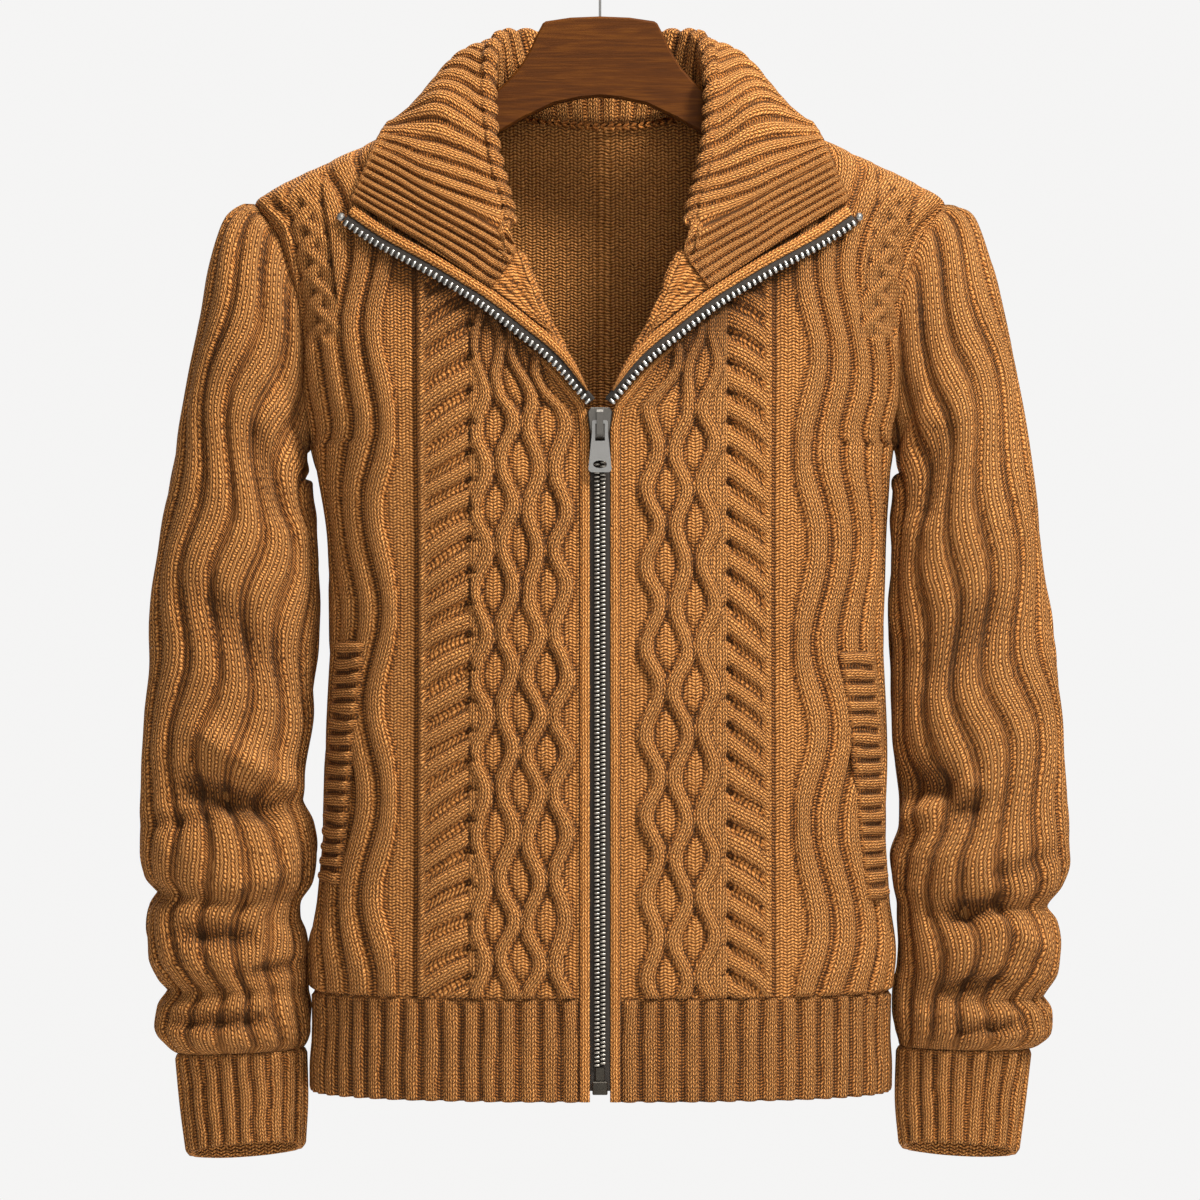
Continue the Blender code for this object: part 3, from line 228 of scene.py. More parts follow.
class Wire:  # a shader socket that takes part in sums
    def __init__(self, tree, socket):
        self.tree, self.socket = tree, socket

    def math(self, operation, other=None, swap=False):
        node = self.tree.nodes.new("ShaderNodeMath")
        node.operation = operation
        for slot, value in enumerate((other, self) if swap else (self, other)):
            if isinstance(value, Wire):
                self.tree.links.new(value.socket, node.inputs[slot])
            elif value is not None:
                node.inputs[slot].default_value = value
        return Wire(self.tree, node.outputs[0])

    def __add__(self, other):
        return self.math("ADD", other)

    def __radd__(self, other):
        return self.math("ADD", other, True)

    def __sub__(self, other):
        return self.math("SUBTRACT", other)

    def __rsub__(self, other):
        return self.math("SUBTRACT", other, True)

    def __mul__(self, other):
        return self.math("MULTIPLY", other)

    def __rmul__(self, other):
        return self.math("MULTIPLY", other, True)

    def __pow__(self, other):
        return self.math("POWER", other)

    def fract(self):
        return self.math("FRACT")

    def size(self):
        return self.math("ABSOLUTE")

    def sine(self):
        return self.math("SINE")

    def clamp(self):
        return self.math("MAXIMUM", 0.0).math("MINIMUM", 1.0)


class Finish:
    def __init__(self, name):
        self.material = bpy.data.materials.new(name)
        self.material.use_nodes = True
        self.tree = self.material.node_tree
        self.shader = self.tree.nodes["Principled BSDF"]

    def make(self, kind, settings=None, sockets=None, out=0):
        node = self.tree.nodes.new(kind)
        for key, value in (settings or {}).items():
            if key == "stops":
                ramp = node.color_ramp
                while len(ramp.elements) < len(value):
                    ramp.elements.new(0.5)
                for element, (spot, colour) in zip(ramp.elements, value):
                    element.position, element.color = spot, (*colour, 1)
            else:
                setattr(node, key, value)
        for key, value in (sockets or {}).items():
            if isinstance(value, Wire):
                self.tree.links.new(value.socket, node.inputs[key])
            else:
                node.inputs[key].default_value = value
        return Wire(self.tree, node.outputs[out])

    def attribute(self, name):
        return self.make("ShaderNodeAttribute", {"attribute_name": name}, out="Fac")

    def noise(self, scale, detail=2.0, vector=None, distortion=0.0):
        where = vector or self.make("ShaderNodeTexCoord", out="Object")
        sockets = {"Vector": where, "Scale": scale, "Detail": detail, "Distortion": distortion}
        return self.make("ShaderNodeTexNoise", None, sockets, out="Fac")

    def mixColour(self, share, low, high):
        sockets = {0: share, 6: (*low, 1), 7: (*high, 1)}
        return self.make("ShaderNodeMix", {"data_type": "RGBA"}, sockets, out=2)

    def ramp(self, share, *stops):
        return self.make("ShaderNodeValToRGB", {"stops": list(stops)}, {0: share})

    def parts(self, place):
        # the three numbers of a place
        split = self.tree.nodes.new("ShaderNodeSeparateXYZ")
        self.tree.links.new(place.socket, split.inputs[0])
        return [Wire(self.tree, socket) for socket in split.outputs]

    def feed(self, **sockets):
        for name, value in sockets.items():
            socket = self.shader.inputs[name.replace("_", " ")]
            if isinstance(value, Wire):
                self.tree.links.new(value.socket, socket)
            else:
                socket.default_value = value

    def bump(self, height, distance):
        sockets = {"Height": height, "Distance": distance, "Strength": 1.0}
        self.feed(Normal=self.make("ShaderNodeBump", None, sockets))


wool = {
    # the ramp runs from painted shade in hollows and furrows, through the wool's own colour, to painted
    # highlight on stitch crests
    "tones": ((0.0, (0.052, 0.013, 0.0015)), (0.5, (0.430, 0.146, 0.027)), (1.0, (0.770, 0.340, 0.095))),
    "stitchDepth": 0.0025,
    "lean": 0.95,  # how far a stitch's legs lean, in courses
    "roughness": 0.93,
    "sheen": {"Sheen_Weight": 0.16, "Sheen_Roughness": 0.6, "Sheen_Tint": (0.95, 0.55, 0.25, 1)},
    "gloss": 0.12,
}


def knitFinish(name, smooth=0.0, tone=1.0):
    # v-shaped stitches on the knit side, wavy rows on the purl side; the colour is painted darker in the
    # stitches' hollows and by the shade attribute, and lighter on their crests
    f = Finish(name)
    wobble = f.noise(130.0) - 0.5
    uneven = f.noise(520.0, 1.0) - 0.5  # no two stitches are quite alike
    across, along, _ = f.parts(f.make("ShaderNodeUVMap", {"uv_map": "stitch"}))
    across = across + wobble * 0.32 + uneven * 0.2
    along = along + wobble * 0.5 + uneven * 0.55
    purl, shade = f.attribute("purl").clamp(), f.attribute("shade").clamp()
    spread = (across.fract() * 2.0 - 1.0).size()
    leg = ((along - spread * wool["lean"]).fract() * math.pi).sine() ** 0.6
    parting = ((spread * math.pi).sine() * 0.95 + 0.05) ** 0.8
    knit = leg * parting
    wave = ((across * 0.5).fract() * 2.0 - 1.0).size()
    row = ((along * 1.3 + wave * 0.7).fract() * math.pi).sine() ** 0.8
    bumps = row * (0.42 + 0.58 * (across * math.pi * 1.5).sine().size())
    stitch = knit + (bumps * 0.92 - knit) * purl
    fibre, patch = f.noise(2600.0, 3.0) - 0.5, f.noise(9.0, 3.0) - 0.5
    # painted shade and highlight: the stitches' height and the shade attribute set how dark the colour is
    level = stitch * (1.2 - 0.55 * smooth) + (0.4 * smooth - 0.09)
    level = (level + fibre * 0.6 + patch * 0.24 + uneven * 0.26 - shade * 0.8).clamp()
    colour = f.ramp(level, *((spot, tuple(c * tone for c in shown)) for spot, shown in wool["tones"]))
    f.feed(Base_Color=colour, Roughness=wool["roughness"], Specular_IOR_Level=wool["gloss"])
    f.feed(**wool["sheen"])
    height = stitch * (1.0 - smooth) + smooth * (0.55 + 0.2 * stitch) + fibre * 0.22
    f.bump(height, wool["stitchDepth"] * (1.0 - 0.45 * smooth))
    return f.material


wools = {
    "knit": knitFinish("caramelKnit"),
    "collar": knitFinish("caramelCollar", 0.1, 1.08),
    "edge": knitFinish("caramelEdge", 0.35, 1.12),
}
print("wool is ready")

# painted shade: innerShade darkens the inner faces, and deep sets how deep a furrow must be to be painted
# fully dark
knitting = {"innerShade": 0.03, "deep": 1.7}  # a furrow this deep is fully in shade


def picks(count, step):
    chosen = list(range(0, count, step))
    if chosen[-1] != count - 1:
        chosen.append(count - 1)
    return chosen


def inWorld(points):
    # millimetres above the hem's edge to metres from the hook's seat
    return (np.asarray(points, float) - np.array([0, 0, garment["hookSeat"]])) / 1000


def newMesh(name, points, faces, finish, uvs, attributes):
    mesh = bpy.data.meshes.new(name)
    mesh.from_pydata(inWorld(points).tolist(), [], faces)
    layer = mesh.uv_layers.new(name="stitch")
    layer.data.foreach_set("uv", np.asarray(uvs, np.float32).ravel())
    for key, values in attributes.items():
        made = mesh.attributes.new(key, "FLOAT", "POINT")
        made.data.foreach_set("value", np.asarray(values, np.float32))
    mesh.materials.append(finish)
    mesh.shade_smooth()
    return putIn(name, mesh)


def clothPiece(node, outer, inner, spots, purl, shade, finish, flat, area=None, rests=(),
               tube=False, region=None, innerStep=5, slot="wool"):
    # a fine outer grid over a coarser inner one, laced together at the edges; spots are the
    # stitch counts across and along, one pair of grids for each region of the knitting
    name = node + ("_tape" if slot == "tape" else "_knit")
    rows, columns = outer.shape[:2]
    if region is None:
        region = np.zeros((rows, columns), int)
    around = columns - 1 if tube else columns
    rowPicks, columnPicks = picks(rows, innerStep), picks(columns, innerStep)
    innerColumns = columnPicks[:-1] if tube else columnPicks
    innerPoints = inner[np.ix_(rowPicks, innerColumns)]
    points = np.concatenate([outer[:, :around].reshape(-1, 3), innerPoints.reshape(-1, 3)])
    start = rows * around
    stitches = np.stack([np.stack(np.broadcast_arrays(*pair), axis=-1) for pair in spots])
    r, c = np.meshgrid(np.arange(rows - 1), np.arange(columns - 1), indexing="ij")
    kind = region[:-1, :-1]
    loops, places = [], []
    for dr, dc in ((0, 0), (0, 1), (1, 1), (1, 0)):
        loops.append((r + dr) * around + (c + dc) % around)
        places.append(stitches[kind, r + dr, c + dc])
    faces = np.stack(loops, axis=-1).reshape(-1, 4).tolist()
    uvs = [np.stack(places, axis=2).reshape(-1, 2)]

    def back(i, j):
        return start + i * len(innerColumns) + j % len(innerColumns)

    for i in range(len(rowPicks) - 1):
        for j in range(len(columnPicks) - 1):
            faces.append([back(i, j), back(i + 1, j), back(i + 1, j + 1), back(i, j + 1)])
            corners = ((i, j), (i + 1, j), (i + 1, j + 1), (i, j + 1))
            uvs.append([stitches[0, rowPicks[a], columnPicks[b]] for a, b in corners])

    def lace(outers, inners, flip):
        i = j = 0
        while i < len(outers) - 1 or j < len(inners) - 1:
            goOut = j == len(inners) - 1 or (i < len(outers) - 1 and outers[i + 1][1] <= inners[j + 1][1])
            three = (outers[i], outers[i + 1] if goOut else inners[j + 1], inners[j])
            three = three[::-1] if flip else three
            faces.append([v[0] for v in three])
            uvs.append([v[2] for v in three])
            i, j = (i + 1, j) if goOut else (i, j + 1)

    for r0, i, flip in ((0, 0, True), (rows - 1, len(rowPicks) - 1, False)):
        lace([(r0 * around + k % around, k, stitches[0, r0, k]) for k in range(columns)],
             [(back(i, j), k, stitches[0, r0, k]) for j, k in enumerate(columnPicks)], flip)
    if not tube:
        for c0, j, flip in ((0, 0, False), (columns - 1, len(columnPicks) - 1, True)):
            lace([(k * around + c0, k, stitches[0, k, c0]) for k in range(rows)],
                 [(back(i, j), k, stitches[0, k, c0]) for i, k in enumerate(rowPicks)], flip)
    across = np.cross(outer[:-1, 1:] - outer[:-1, :-1], outer[1:, :-1] - outer[:-1, :-1])
    if np.sum(across * (outer - inner)[:-1, :-1]) < 0:
        faces = [face[::-1] for face in faces]
        uvs = [uvs[0].reshape(-1, 4, 2)[:, ::-1].reshape(-1, 2)] + [part[::-1] for part in uvs[1:]]
    flatUvs = np.concatenate([np.asarray(part, float).reshape(-1, 2) for part in uvs])
    count = len(rowPicks) * len(innerColumns)
    purls = np.concatenate([purl[:, :around].ravel(), np.ones(count)])
    # the inner faces get a little painted shade
    shades = np.concatenate([shade[:, :around].ravel(), np.full(count, knitting["innerShade"])])
    obj = newMesh(name, points, faces, finish, flatUvs, {"purl": purls, "shade": shades})
    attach(obj, "garment")
    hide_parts(node)
    print(name, "has", len(faces), "faces")


def walls(ground, normals, relief, wall=garment["wall"]):
    return ground + normals * relief[..., None], ground - normals * wall


def cavity(height, reach, wrap=False, size=cell):
    # how far a place lies below what is around it within this reach, used as painted shade in the furrows
    return unit((blurred(height, max(1, round(reach / size)), wrap) - height) / knitting["deep"])


def ribbed(count, half, power=3.0, offset=0.0):
    # ribs at the whole numbers of a count, or offset from them
    return ridge(count - np.round(count - offset) - offset, half, power)


def furrows(raised, level=0.12):
    return np.where(raised > level, 0.0, 1.0)


cables = {
    "waleWidth": 3.9,
    "course": 2.75,
    "cords": {-1: (26.0, 43.7, 61.0, 78.5), 1: (34.5, 53.0, 71.0)},
    "backCords": (9.0, 26.5, 44.0, 61.5, 77.5),
    "cordPhase": {-1: 391.6, 1: 405.0},
    "cordPeriod": 54.0,
    "cordSway": 4.6,
    "cordHalf": 5.6,
    "cordRise": 4.6,
    "ladder": {-1: (86.0, 117.6), 1: (84.5, 110.5)},
    "rungPitch": {-1: 20.4, 1: 20.2},
    "rungPhase": {-1: 398.0, 1: 396.0},
    "climb": 20.0,
    "rungRise": 3.7,
    "ribStep": 20.0,
    "ribPeriod": 124.0,
    "ribPhase": {-1: 386.0, 1: 367.0},
    "ribSway": 6.6,
    "ribRise": 4.8,
    "ribHalf": 7.8,
    "ribsFrom": 30.0,  # past the ladder
    "backShare": 0.8,  # of the fronts' relief
    "pillow": 2.4, "plain": 2.9, "border": 3.6,
    "rungHalf": 5.3,
    # how far below a rung, half height, how far past the ladder's edge, half width, depth
    "holes": ((8.2, 2.6, 0.5, 2.3, 5.2), (10.5, 1.9, -3.6, 1.7, 2.6)),
}


def cableRelief(side, d, h, face):
    # relief, purl mask, stitch places: d is the distance from the zip, h the height
    s = 1.0 if face == "front" else cables["backShare"]
    wale, course = cables["waleWidth"], cables["course"]
    hh = h + 2.1 * hills(d, h, 11 + side, 90.0)
    relief = 0.25 * hills(d, h, 5 + side, 26.0)
    purl = np.ones_like(d)
    along = h / course
    region = np.zeros(d.shape, int)
    spots = [(d / wale, along), None, None]
    turn = 2 * math.pi * (hh - cables["cordPhase"][side]) / cables["cordPeriod"]
    centres = []
    for i, centre in enumerate(cables["cords"][side] if face == "front" else cables["backCords"]):
        swing = (-1 if i % 2 == 0 else 1) * cables["cordSway"] * (0.9 + 0.12 * hills(d, h, 31 + i, 160.0))
        centres.append(centre + swing * np.cos(turn + 0.25 * math.sin(i * 2.4)))
    for before, after in zip(centres, centres[1:]):  # pillows inside the ovals
        gap, middle = after - before, (after + before) / 2
        bulge = step01(gap, 11.0, 23.0) * ridge(d - middle, np.maximum(gap / 2 - 2.5, 1.5), 2.0)
        relief += s * cables["pillow"] * bulge
    for i, centre in enumerate(centres):
        high = cables["cordRise"] + 0.8 * np.cos(turn * 0.5 + i * math.pi / 2)
        relief = np.maximum(relief, s * high * ridge(d - centre, cables["cordHalf"]))
        relief -= s * 1.3 * ridge(np.abs(d - centre) - cables["cordHalf"] - 1.2, 1.7)
        on = np.abs(d - centre) < cables["cordHalf"] - 0.3
        purl = np.where(on, 0.0, purl)
        region = np.where(on, len(spots), region)
        spots.append(((d - centre) / wale + 0.5, along))
    near, far = cables["ladder"][side]
    plain = step01(d, centres[-1] + 3, centres[-1] + 6) * (1 - step01(d, near + 1.5, near + 4)) * (d > 60)
    relief = np.maximum(relief, s * cables["plain"] * plain)
    purl = np.where(plain > 0.5, 0.0, purl)
    # the ladder: rungs that climb towards the zip, over a hatched hollow
    share = unit((far - d) / (far - near))
    inLadder = (d > near - 1.5) & (d < far + 3.5)
    rungLine = cables["climb"] * share ** 0.85
    pitch = cables["rungPitch"][side]
    offset = np.mod(hh - rungLine - cables["rungPhase"][side] + pitch / 2, pitch) - pitch / 2
    slope = math.cos(math.atan(cables["climb"] / (far - near)))
    rung = ridge(offset * slope, cables["rungHalf"], 2.8)
    base = np.where(inLadder, 1.0 - 2.4 * step01(share, 0.6, 1.0), relief)
    lift = s * cables["rungRise"] * rung * (0.92 + 0.18 * np.sin(share * math.pi))
    lift *= step01(d, near - 1.5, near + 2.0) * (1 - step01(d, far, far + 3.5))
    relief = np.where(inLadder, np.maximum(base, lift + base * 0.2), relief)
    lip = s * 2.6 * (1 - step01(d, near - 1, near + 2.5)) * plain
    relief = np.where(inLadder & (d < near + 2.5), np.maximum(relief, lip), relief)
    purl = np.where(inLadder, furrows(rung, 0.35), purl)
    region = np.where(inLadder & (rung > 0.2), 1, region)
    downRung = (far - d) / slope / course
    spots[1] = (offset * slope / wale + 0.5, downRung)
    border = ridge(d - far - 0.4, 3.6)
    relief = np.maximum(relief, s * cables["border"] * border)
    purl = np.where(border > 0.3, 0.0, purl)
    for below, high, past, wide, depth in cables["holes"]:
        relief -= s * depth * np.exp(-(((offset + below) / high) ** 2 + ((d - near - past) / wide) ** 2))
    relief -= s * 1.9 * ridge(d - far - 5.6, 2.2)
    region = np.where(inLadder & (rung <= 0.2), len(spots), region)
    spots.append(((hh - rungLine) * slope / wale, downRung * 0.62))
    # wavy ribs out to the side
    start = far + cables["ribsFrom"]
    sway = cables["ribSway"] * np.cos(2 * math.pi * (hh - cables["ribPhase"][side]) / cables["ribPeriod"])
    place = d - start - sway * step01(d, far + 6, start)
    index = np.round(place / cables["ribStep"])
    beyond = (d > far + 12) & (index >= 0)
    rib = ridge(place - index * cables["ribStep"], cables["ribHalf"], 3.2)
    high = np.maximum(relief - 0.9 * step01(d, far + 14, far + 24), s * cables["ribRise"] * rib)
    relief = np.where(beyond, high, relief)
    purl = np.where(beyond & (rib > 0.3), 0.0, purl)
    region = np.where(beyond, 2, region)
    spots[2] = (place / cables["ribStep"] * 5 + 0.5, along)
    return relief, purl, spots, region


plait = {
    "line": ((497, 183), (515, 184), (557, 190), (600, 197)),  # height and x of its middle
    "half": 14.0, "period": 58.0, "sway": 7.6, "strand": 5.8, "rise": 3.4, "start": 498.0,
}


def addPlait(ground, relief, purl):
    # three strands that cross one another, from the chest up to the shoulder
    h = ground[..., 2]
    off = np.abs(ground[..., 0]) - np.interp(h, *zip(*plait["line"]))
    inside = step01(plait["half"] - np.abs(off), 0, 2.5) * step01(h, plait["start"], plait["start"] + 14)
    made = np.full(h.shape, -0.2)
    for k in range(3):
        turn = 2 * math.pi * (h / plait["period"] + k / 3)
        high = plait["rise"] + 1.5 * np.cos(2 * turn + 0.6)
        made = np.maximum(made, high * ridge(off - plait["sway"] * np.sin(turn), plait["strand"]) - 0.2)
    return relief * (1 - inside) + made * inside, np.where(inside > 0.5, furrows(made, 0), purl)


panels = {
    "zipEdge": 13.3,  # from the middle of the zip to the front's edge
    "knee": 84.0, "hip": 141.0,  # where the cables end and where the wavy ribs start
    "armholeFade": 9.0, "seamFade": 3.5, "topFade": 14.0, "plainAbove": 60.0,
    "upperRows": 190.0,
}


def warp(distance, low, high, full, face):
    # distance from the zip on the chest to the place along a ring whose ends are low and high
    hip = panels["hip"]
    if face == "back":
        return np.interp(distance, [0, hip, full], [0, min(hip, high - 30), high])
    knee = max(panels["knee"], low + 12)
    return np.interp(distance, [panels["zipEdge"], panels["knee"], hip, full],
                     [low, knee, min(max(hip, knee + 24), high - 14), high])


def armholeAlong(side, face, height):
    full = girthAt(side, face, height) - garment["seam"] / 2
    if height <= garment["underarm"]:
        return full
    x = halfWidth[side](height) - armInset(height)
    return min(float(alongAt(side, face, height, x)), full)


def panel(side, face, size):
    # half a panel: its ground, outward normals, and each point's distance from the zip, height,
    # distance from the nearer side edge and distance below the top
    start = 0.0 if face == "back" else panels["zipEdge"]
    full = girthAt(side, face, 300) - garment["seam"] / 2
    base = np.linspace(start, full, int((full - start) / size) + 1)
    seamHeights = np.linspace(garment["neckPoint"], garment["shoulderTip"], 60)
    girths = girthAt(side, face, seamHeights)
    neckAlong = girths[0]
    at = warp(base, neckAlong if face == "front" else 0.0, girths[-1], full, face)
    rise = garment["neckPoint"] - garment["backNeck"]
    neck = garment["backNeck"] + rise * (np.minimum(at, neckAlong) / neckAlong) ** 2
    tops = np.where(at < neckAlong, neck, np.interp(at, girths, seamHeights))
    hem, underarm = garment["hem"] + garment["seam"], garment["underarm"]
    lowRows, highRows = int((underarm - hem) / size), int(panels["upperRows"] / size)
    places, heights = [], []
    for r in range(lowRows + highRows + 1):
        if r <= lowRows:
            level = np.full(len(base), hem + (underarm - hem) * r / lowRows)
        else:
            level = underarm + (tops - underarm) * (r - lowRows) / highRows
        low = float(alongAt(side, face, level[0], edgeX(level[0]))) if face == "front" else 0.0
        high = armholeAlong(side, face, min(level[-1], garment["shoulderTip"]))
        seam = girthAt(side, face, level) - garment["seam"] / 2
        places.append(np.minimum(warp(base, low, high, full, face), seam))
        heights.append(level)
    places, heights = np.array(places), np.array(heights)
    ground = onBody(side, face, places, heights)
    normals = gridNormals(ground, ground * np.array([1, 1, 0]))
    ends = np.minimum(places - places[:, :1], places[:, -1:] - places)
    return ground, normals, np.broadcast_to(base, heights.shape), heights, ends, tops - heights


def fadeAtSeams(relief, ends, below, heights, upper):
    # the relief sinks towards the seams, more softly along the armhole
    reach = np.where(upper, panels["armholeFade"], panels["seamFade"])
    fade = unit(ends / reach) ** 0.8 * np.clip(below / panels["topFade"], 0.1, 1) * heights
    return np.where(relief > 0, relief * fade, relief)


def buildFronts():
    for side, node in ((-1, "front_left"), (1, "front_right")):
        ground, normals, distance, heights, ends, below = panel(side, "front", cell)
        relief, purl, spots, region = cableRelief(side, distance, heights, "front")
        relief, purl = addPlait(ground, relief, purl)
        upper = (heights > garment["underarm"]) & (distance > panels["plainAbove"])
        aboveHem = unit((heights - garment["hem"]) / 3) ** 0.6
        relief = fadeAtSeams(relief, ends, below, aboveHem, upper)
        # painted shade in the furrows and painted shadow under the turned-out edge
        shade = unit(cavity(relief, 2.0) + paintedLeafShadow(ground))
        clothPiece(node, *walls(ground, normals, relief), spots, purl, shade, wools["knit"], (0.26, 0.6),
                   area=0.128, rests=["hanger_body"], region=region)


def buildBack():
    halves = []
    for side in (-1, 1):
        ground, normals, distance, heights, ends, below = panel(side, "back", cell * 1.35)
        relief, purl, spots, region = cableRelief(side, distance, heights, "back")
        ends = np.where(distance < panels["plainAbove"], 99, ends)
        relief = fadeAtSeams(relief, ends, below, 1.0, heights > garment["underarm"])
        places = [np.broadcast_to(place, relief.shape) for pair in spots for place in pair]
        halves.append([ground, normals, relief, purl, region, *places])
    joined = [np.concatenate([left[:, :0:-1], right], axis=1) for left, right in zip(*halves)]
    ground, normals, relief, purl, region = joined[:5]
    spots = list(zip(joined[5::2], joined[6::2]))
    # painted shade in the furrows
    clothPiece("back", *walls(ground, normals, relief), spots, purl, cavity(relief, 2.0), wools["knit"],
               (0.5, 0.6), area=0.268, rests=["hanger_body"], region=region)


hem = {
    # shade is painted shade over the whole hem, the garment's lowest part
    "ribs": 17, "rise": 2.9, "ribHalf": 0.36, "scallop": 0.9, "wales": 4, "foot": 0.6, "girth": 250.0,
    "ribWidth": 14.7, "bend": 0.035, "shade": 0.12,
}


def buildHem():
    spans = {
        "hem_front_left": [(-1, "front", 0.0, 1.0)], "hem_front_right": [(1, "front", 0.0, 1.0)],
        "hem_back": [(-1, "back", 1.0, 0.0), (1, "back", 0.0, 1.0)],
    }
    for name, stretches in spans.items():
        front = "front" in name
        size = cell if front else cell * 1.3
        heights = np.linspace(hem["foot"], garment["hem"], int(garment["hem"] / size))[:, None]
        grounds, counts = [], []
        for side, face, start, end in stretches:
            low = panels["zipEdge"] if front else 0.0
            share = np.linspace(start, end, int(abs(end - start) * (hem["girth"] / size)))[None, :]
            full = girthAt(side, face, heights) - garment["seam"] / 2
            grounds.append(onBody(side, face, low + (full - low) * share, heights + 0 * share))
            counts.append(share * hem["ribs"] * (-1 if side < 0 and not front else 1))
        if not front:
            grounds[1], counts[1] = grounds[1][:, 1:], counts[1][:, 1:]
        ground = np.concatenate(grounds, axis=1)
        rib = np.broadcast_to(np.concatenate(counts, axis=1), ground.shape[:2])
        normals = gridNormals(ground, ground * np.array([1, 1, 0]))
        high = heights + 0 * rib
        across = rib * hem["ribWidth"]
        rib = rib + hem["bend"] * hills(across, high, 77, 60.0)
        raised = ribbed(rib, hem["ribHalf"], offset=0.5)
        relief = hem["rise"] * raised * (0.94 + 0.1 * hills(across, high, 78, 40.0))
        relief *= np.clip((garment["hem"] - high) / 3.0, 0.25, 1) * unit((high + 1.2) / 4.0) ** 0.6
        relief -= 0.8 * (1 - raised) * unit((garment["hem"] - high) / 3.0)
        drop = unit(1 - high / 8.0) * hem["scallop"] * (raised - 0.6)
        outer, inner = walls(ground, normals, relief)
        outer[..., 2] -= drop
        # painted shade in the furrows, and a little painted shade over the whole hem
        shade = unit(1.2 * cavity(relief, 2.4) + hem["shade"])
        clothPiece(name, outer, inner, [(rib * hem["wales"], high / cables["course"])], furrows(raised),
                   shade, wools["knit"], (0.26 if front else 0.51, 0.068))


sleeves = {
    "ribs": 14, "rise": 3.9, "ribHalf": 0.39, "wales": 5, "sway": 0.2, "swayLength": 118.0,
    "armholeGap": -0.9, "capLength": 118.0, "capBlend": 55.0, "edgeRelief": 2.0, "squareness": 2.2,
    "foldDepth": 1.9, "foldShade": 0.055, "swell": 0.9,
    -1: [
        (248.4, 589.7, 201.0, 430.0, 44), (259.9, 558.7, 199.5, 422.0, 48),
        (273.0, 495.2, 196.4, 403.0, 51), (279.5, 465.5, 194.7, 390.0, 51),
        (292.3, 391.3, 191.0, 354.0, 50), (297.0, 357.5, 190.5, 330.0, 49),
        (302.4, 290.7, 193.0, 279.0, 47), (305.8, 254.9, 195.0, 254.0, 47),
        (308.0, 226.0, 199.5, 224.0, 46), (309.2, 200.0, 202.0, 196.0, 44),
        (309.2, 180.0, 194.5, 179.0, 48), (309.2, 161.0, 191.0, 161.0, 50),
        (305.8, 146.0, 193.5, 142.0, 48), (296.0, 133.5, 201.5, 127.0, 41),
        (304.0, 121.0, 202.5, 116.0, 45), (306.0, 105.0, 199.5, 105.0, 48),
        (305.0, 90.0, 197.5, 90.0, 47), (298.0, 77.0, 197.5, 77.0, 42),
        (290.5, 67.5, 198.5, 67.0, 38), (298.0, 55.5, 197.0, 56.0, 43),
        (299.5, 43.5, 197.0, 45.5, 44), (292.0, 31.0, 197.6, 34.0, 39),
        (286.5, 25.0, 198.0, 29.0, 34),
    ],
    1: [
        (248.4, 592.0, 202.5, 431.0, 44), (261.9, 558.7, 201.8, 424.0, 48),
        (276.8, 497.9, 200.5, 406.0, 51), (282.2, 466.9, 199.5, 394.0, 51),
        (293.6, 391.3, 197.0, 354.0, 50), (297.7, 357.5, 196.6, 331.0, 49),
        (305.8, 284.6, 197.0, 277.0, 47), (309.2, 249.5, 198.0, 250.0, 47),
        (311.9, 219.0, 200.5, 221.0, 46), (313.9, 195.5, 203.9, 195.5, 45),
        (315.2, 175.0, 203.0, 178.0, 47), (315.6, 156.0, 196.8, 157.0, 50),
        (311.0, 140.0, 198.0, 139.0, 48), (301.0, 124.0, 201.5, 125.0, 41),
        (308.0, 113.0, 202.0, 113.5, 45), (311.0, 98.0, 203.0, 98.0, 48),
        (309.0, 82.0, 202.5, 83.5, 46), (301.0, 69.0, 200.0, 70.5, 40),
        (297.0, 62.5, 199.4, 63.0, 38), (303.0, 52.0, 199.0, 52.5, 43),
        (303.8, 41.5, 200.3, 42.5, 43), (297.0, 32.5, 200.8, 34.5, 38),
        (291.0, 28.5, 200.2, 30.0, 34),
    ],
    # creases: from x, height, to x, height, depth, width; below 0 it is a ridge. Each has its own face.
    "folds": {
        -1: [
            ("front", 272, 205, 222, 190, 8, 9), ("front", 275, 108, 235, 106, 6, 7),
            ("front", 284, 48, 226, 50, 5, 6), ("front", 262, 240, 208, 205, -6, 10),
            ("front", 300, 180, 262, 186, 3, 6), ("front", 230, 82, 200, 86, 4, 5),
            ("front", 262, 330, 222, 290, 3, 14), ("front", 215, 150, 245, 140, -3, 7),
            ("front", 228, 440, 214, 390, 3.5, 9), ("back", 286, 214, 240, 196, 5, 10),
            ("back", 262, 120, 214, 112, 5, 8), ("back", 280, 60, 238, 56, 4, 7),
            ("back", 250, 262, 214, 236, 3, 11),
        ],
        1: [
            ("front", 204, 215, 240, 196, 9, 12), ("front", 262, 128, 235, 120, 6, 7),
            ("front", 264, 76, 232, 72, 5, 6), ("front", 208, 184, 248, 206, -6, 8),
            ("front", 300, 160, 268, 148, 3, 7), ("front", 276, 46, 240, 42, 4, 5),
            ("front", 258, 320, 226, 282, 3, 14), ("front", 290, 100, 270, 112, -3, 7),
            ("front", 226, 440, 216, 392, 3.5, 9), ("back", 214, 222, 262, 200, 6, 11),
            ("back", 276, 138, 226, 122, 5, 8), ("back", 250, 84, 290, 92, 4, 7),
            ("back", 226, 58, 268, 50, 4, 7),
        ],
    },
}
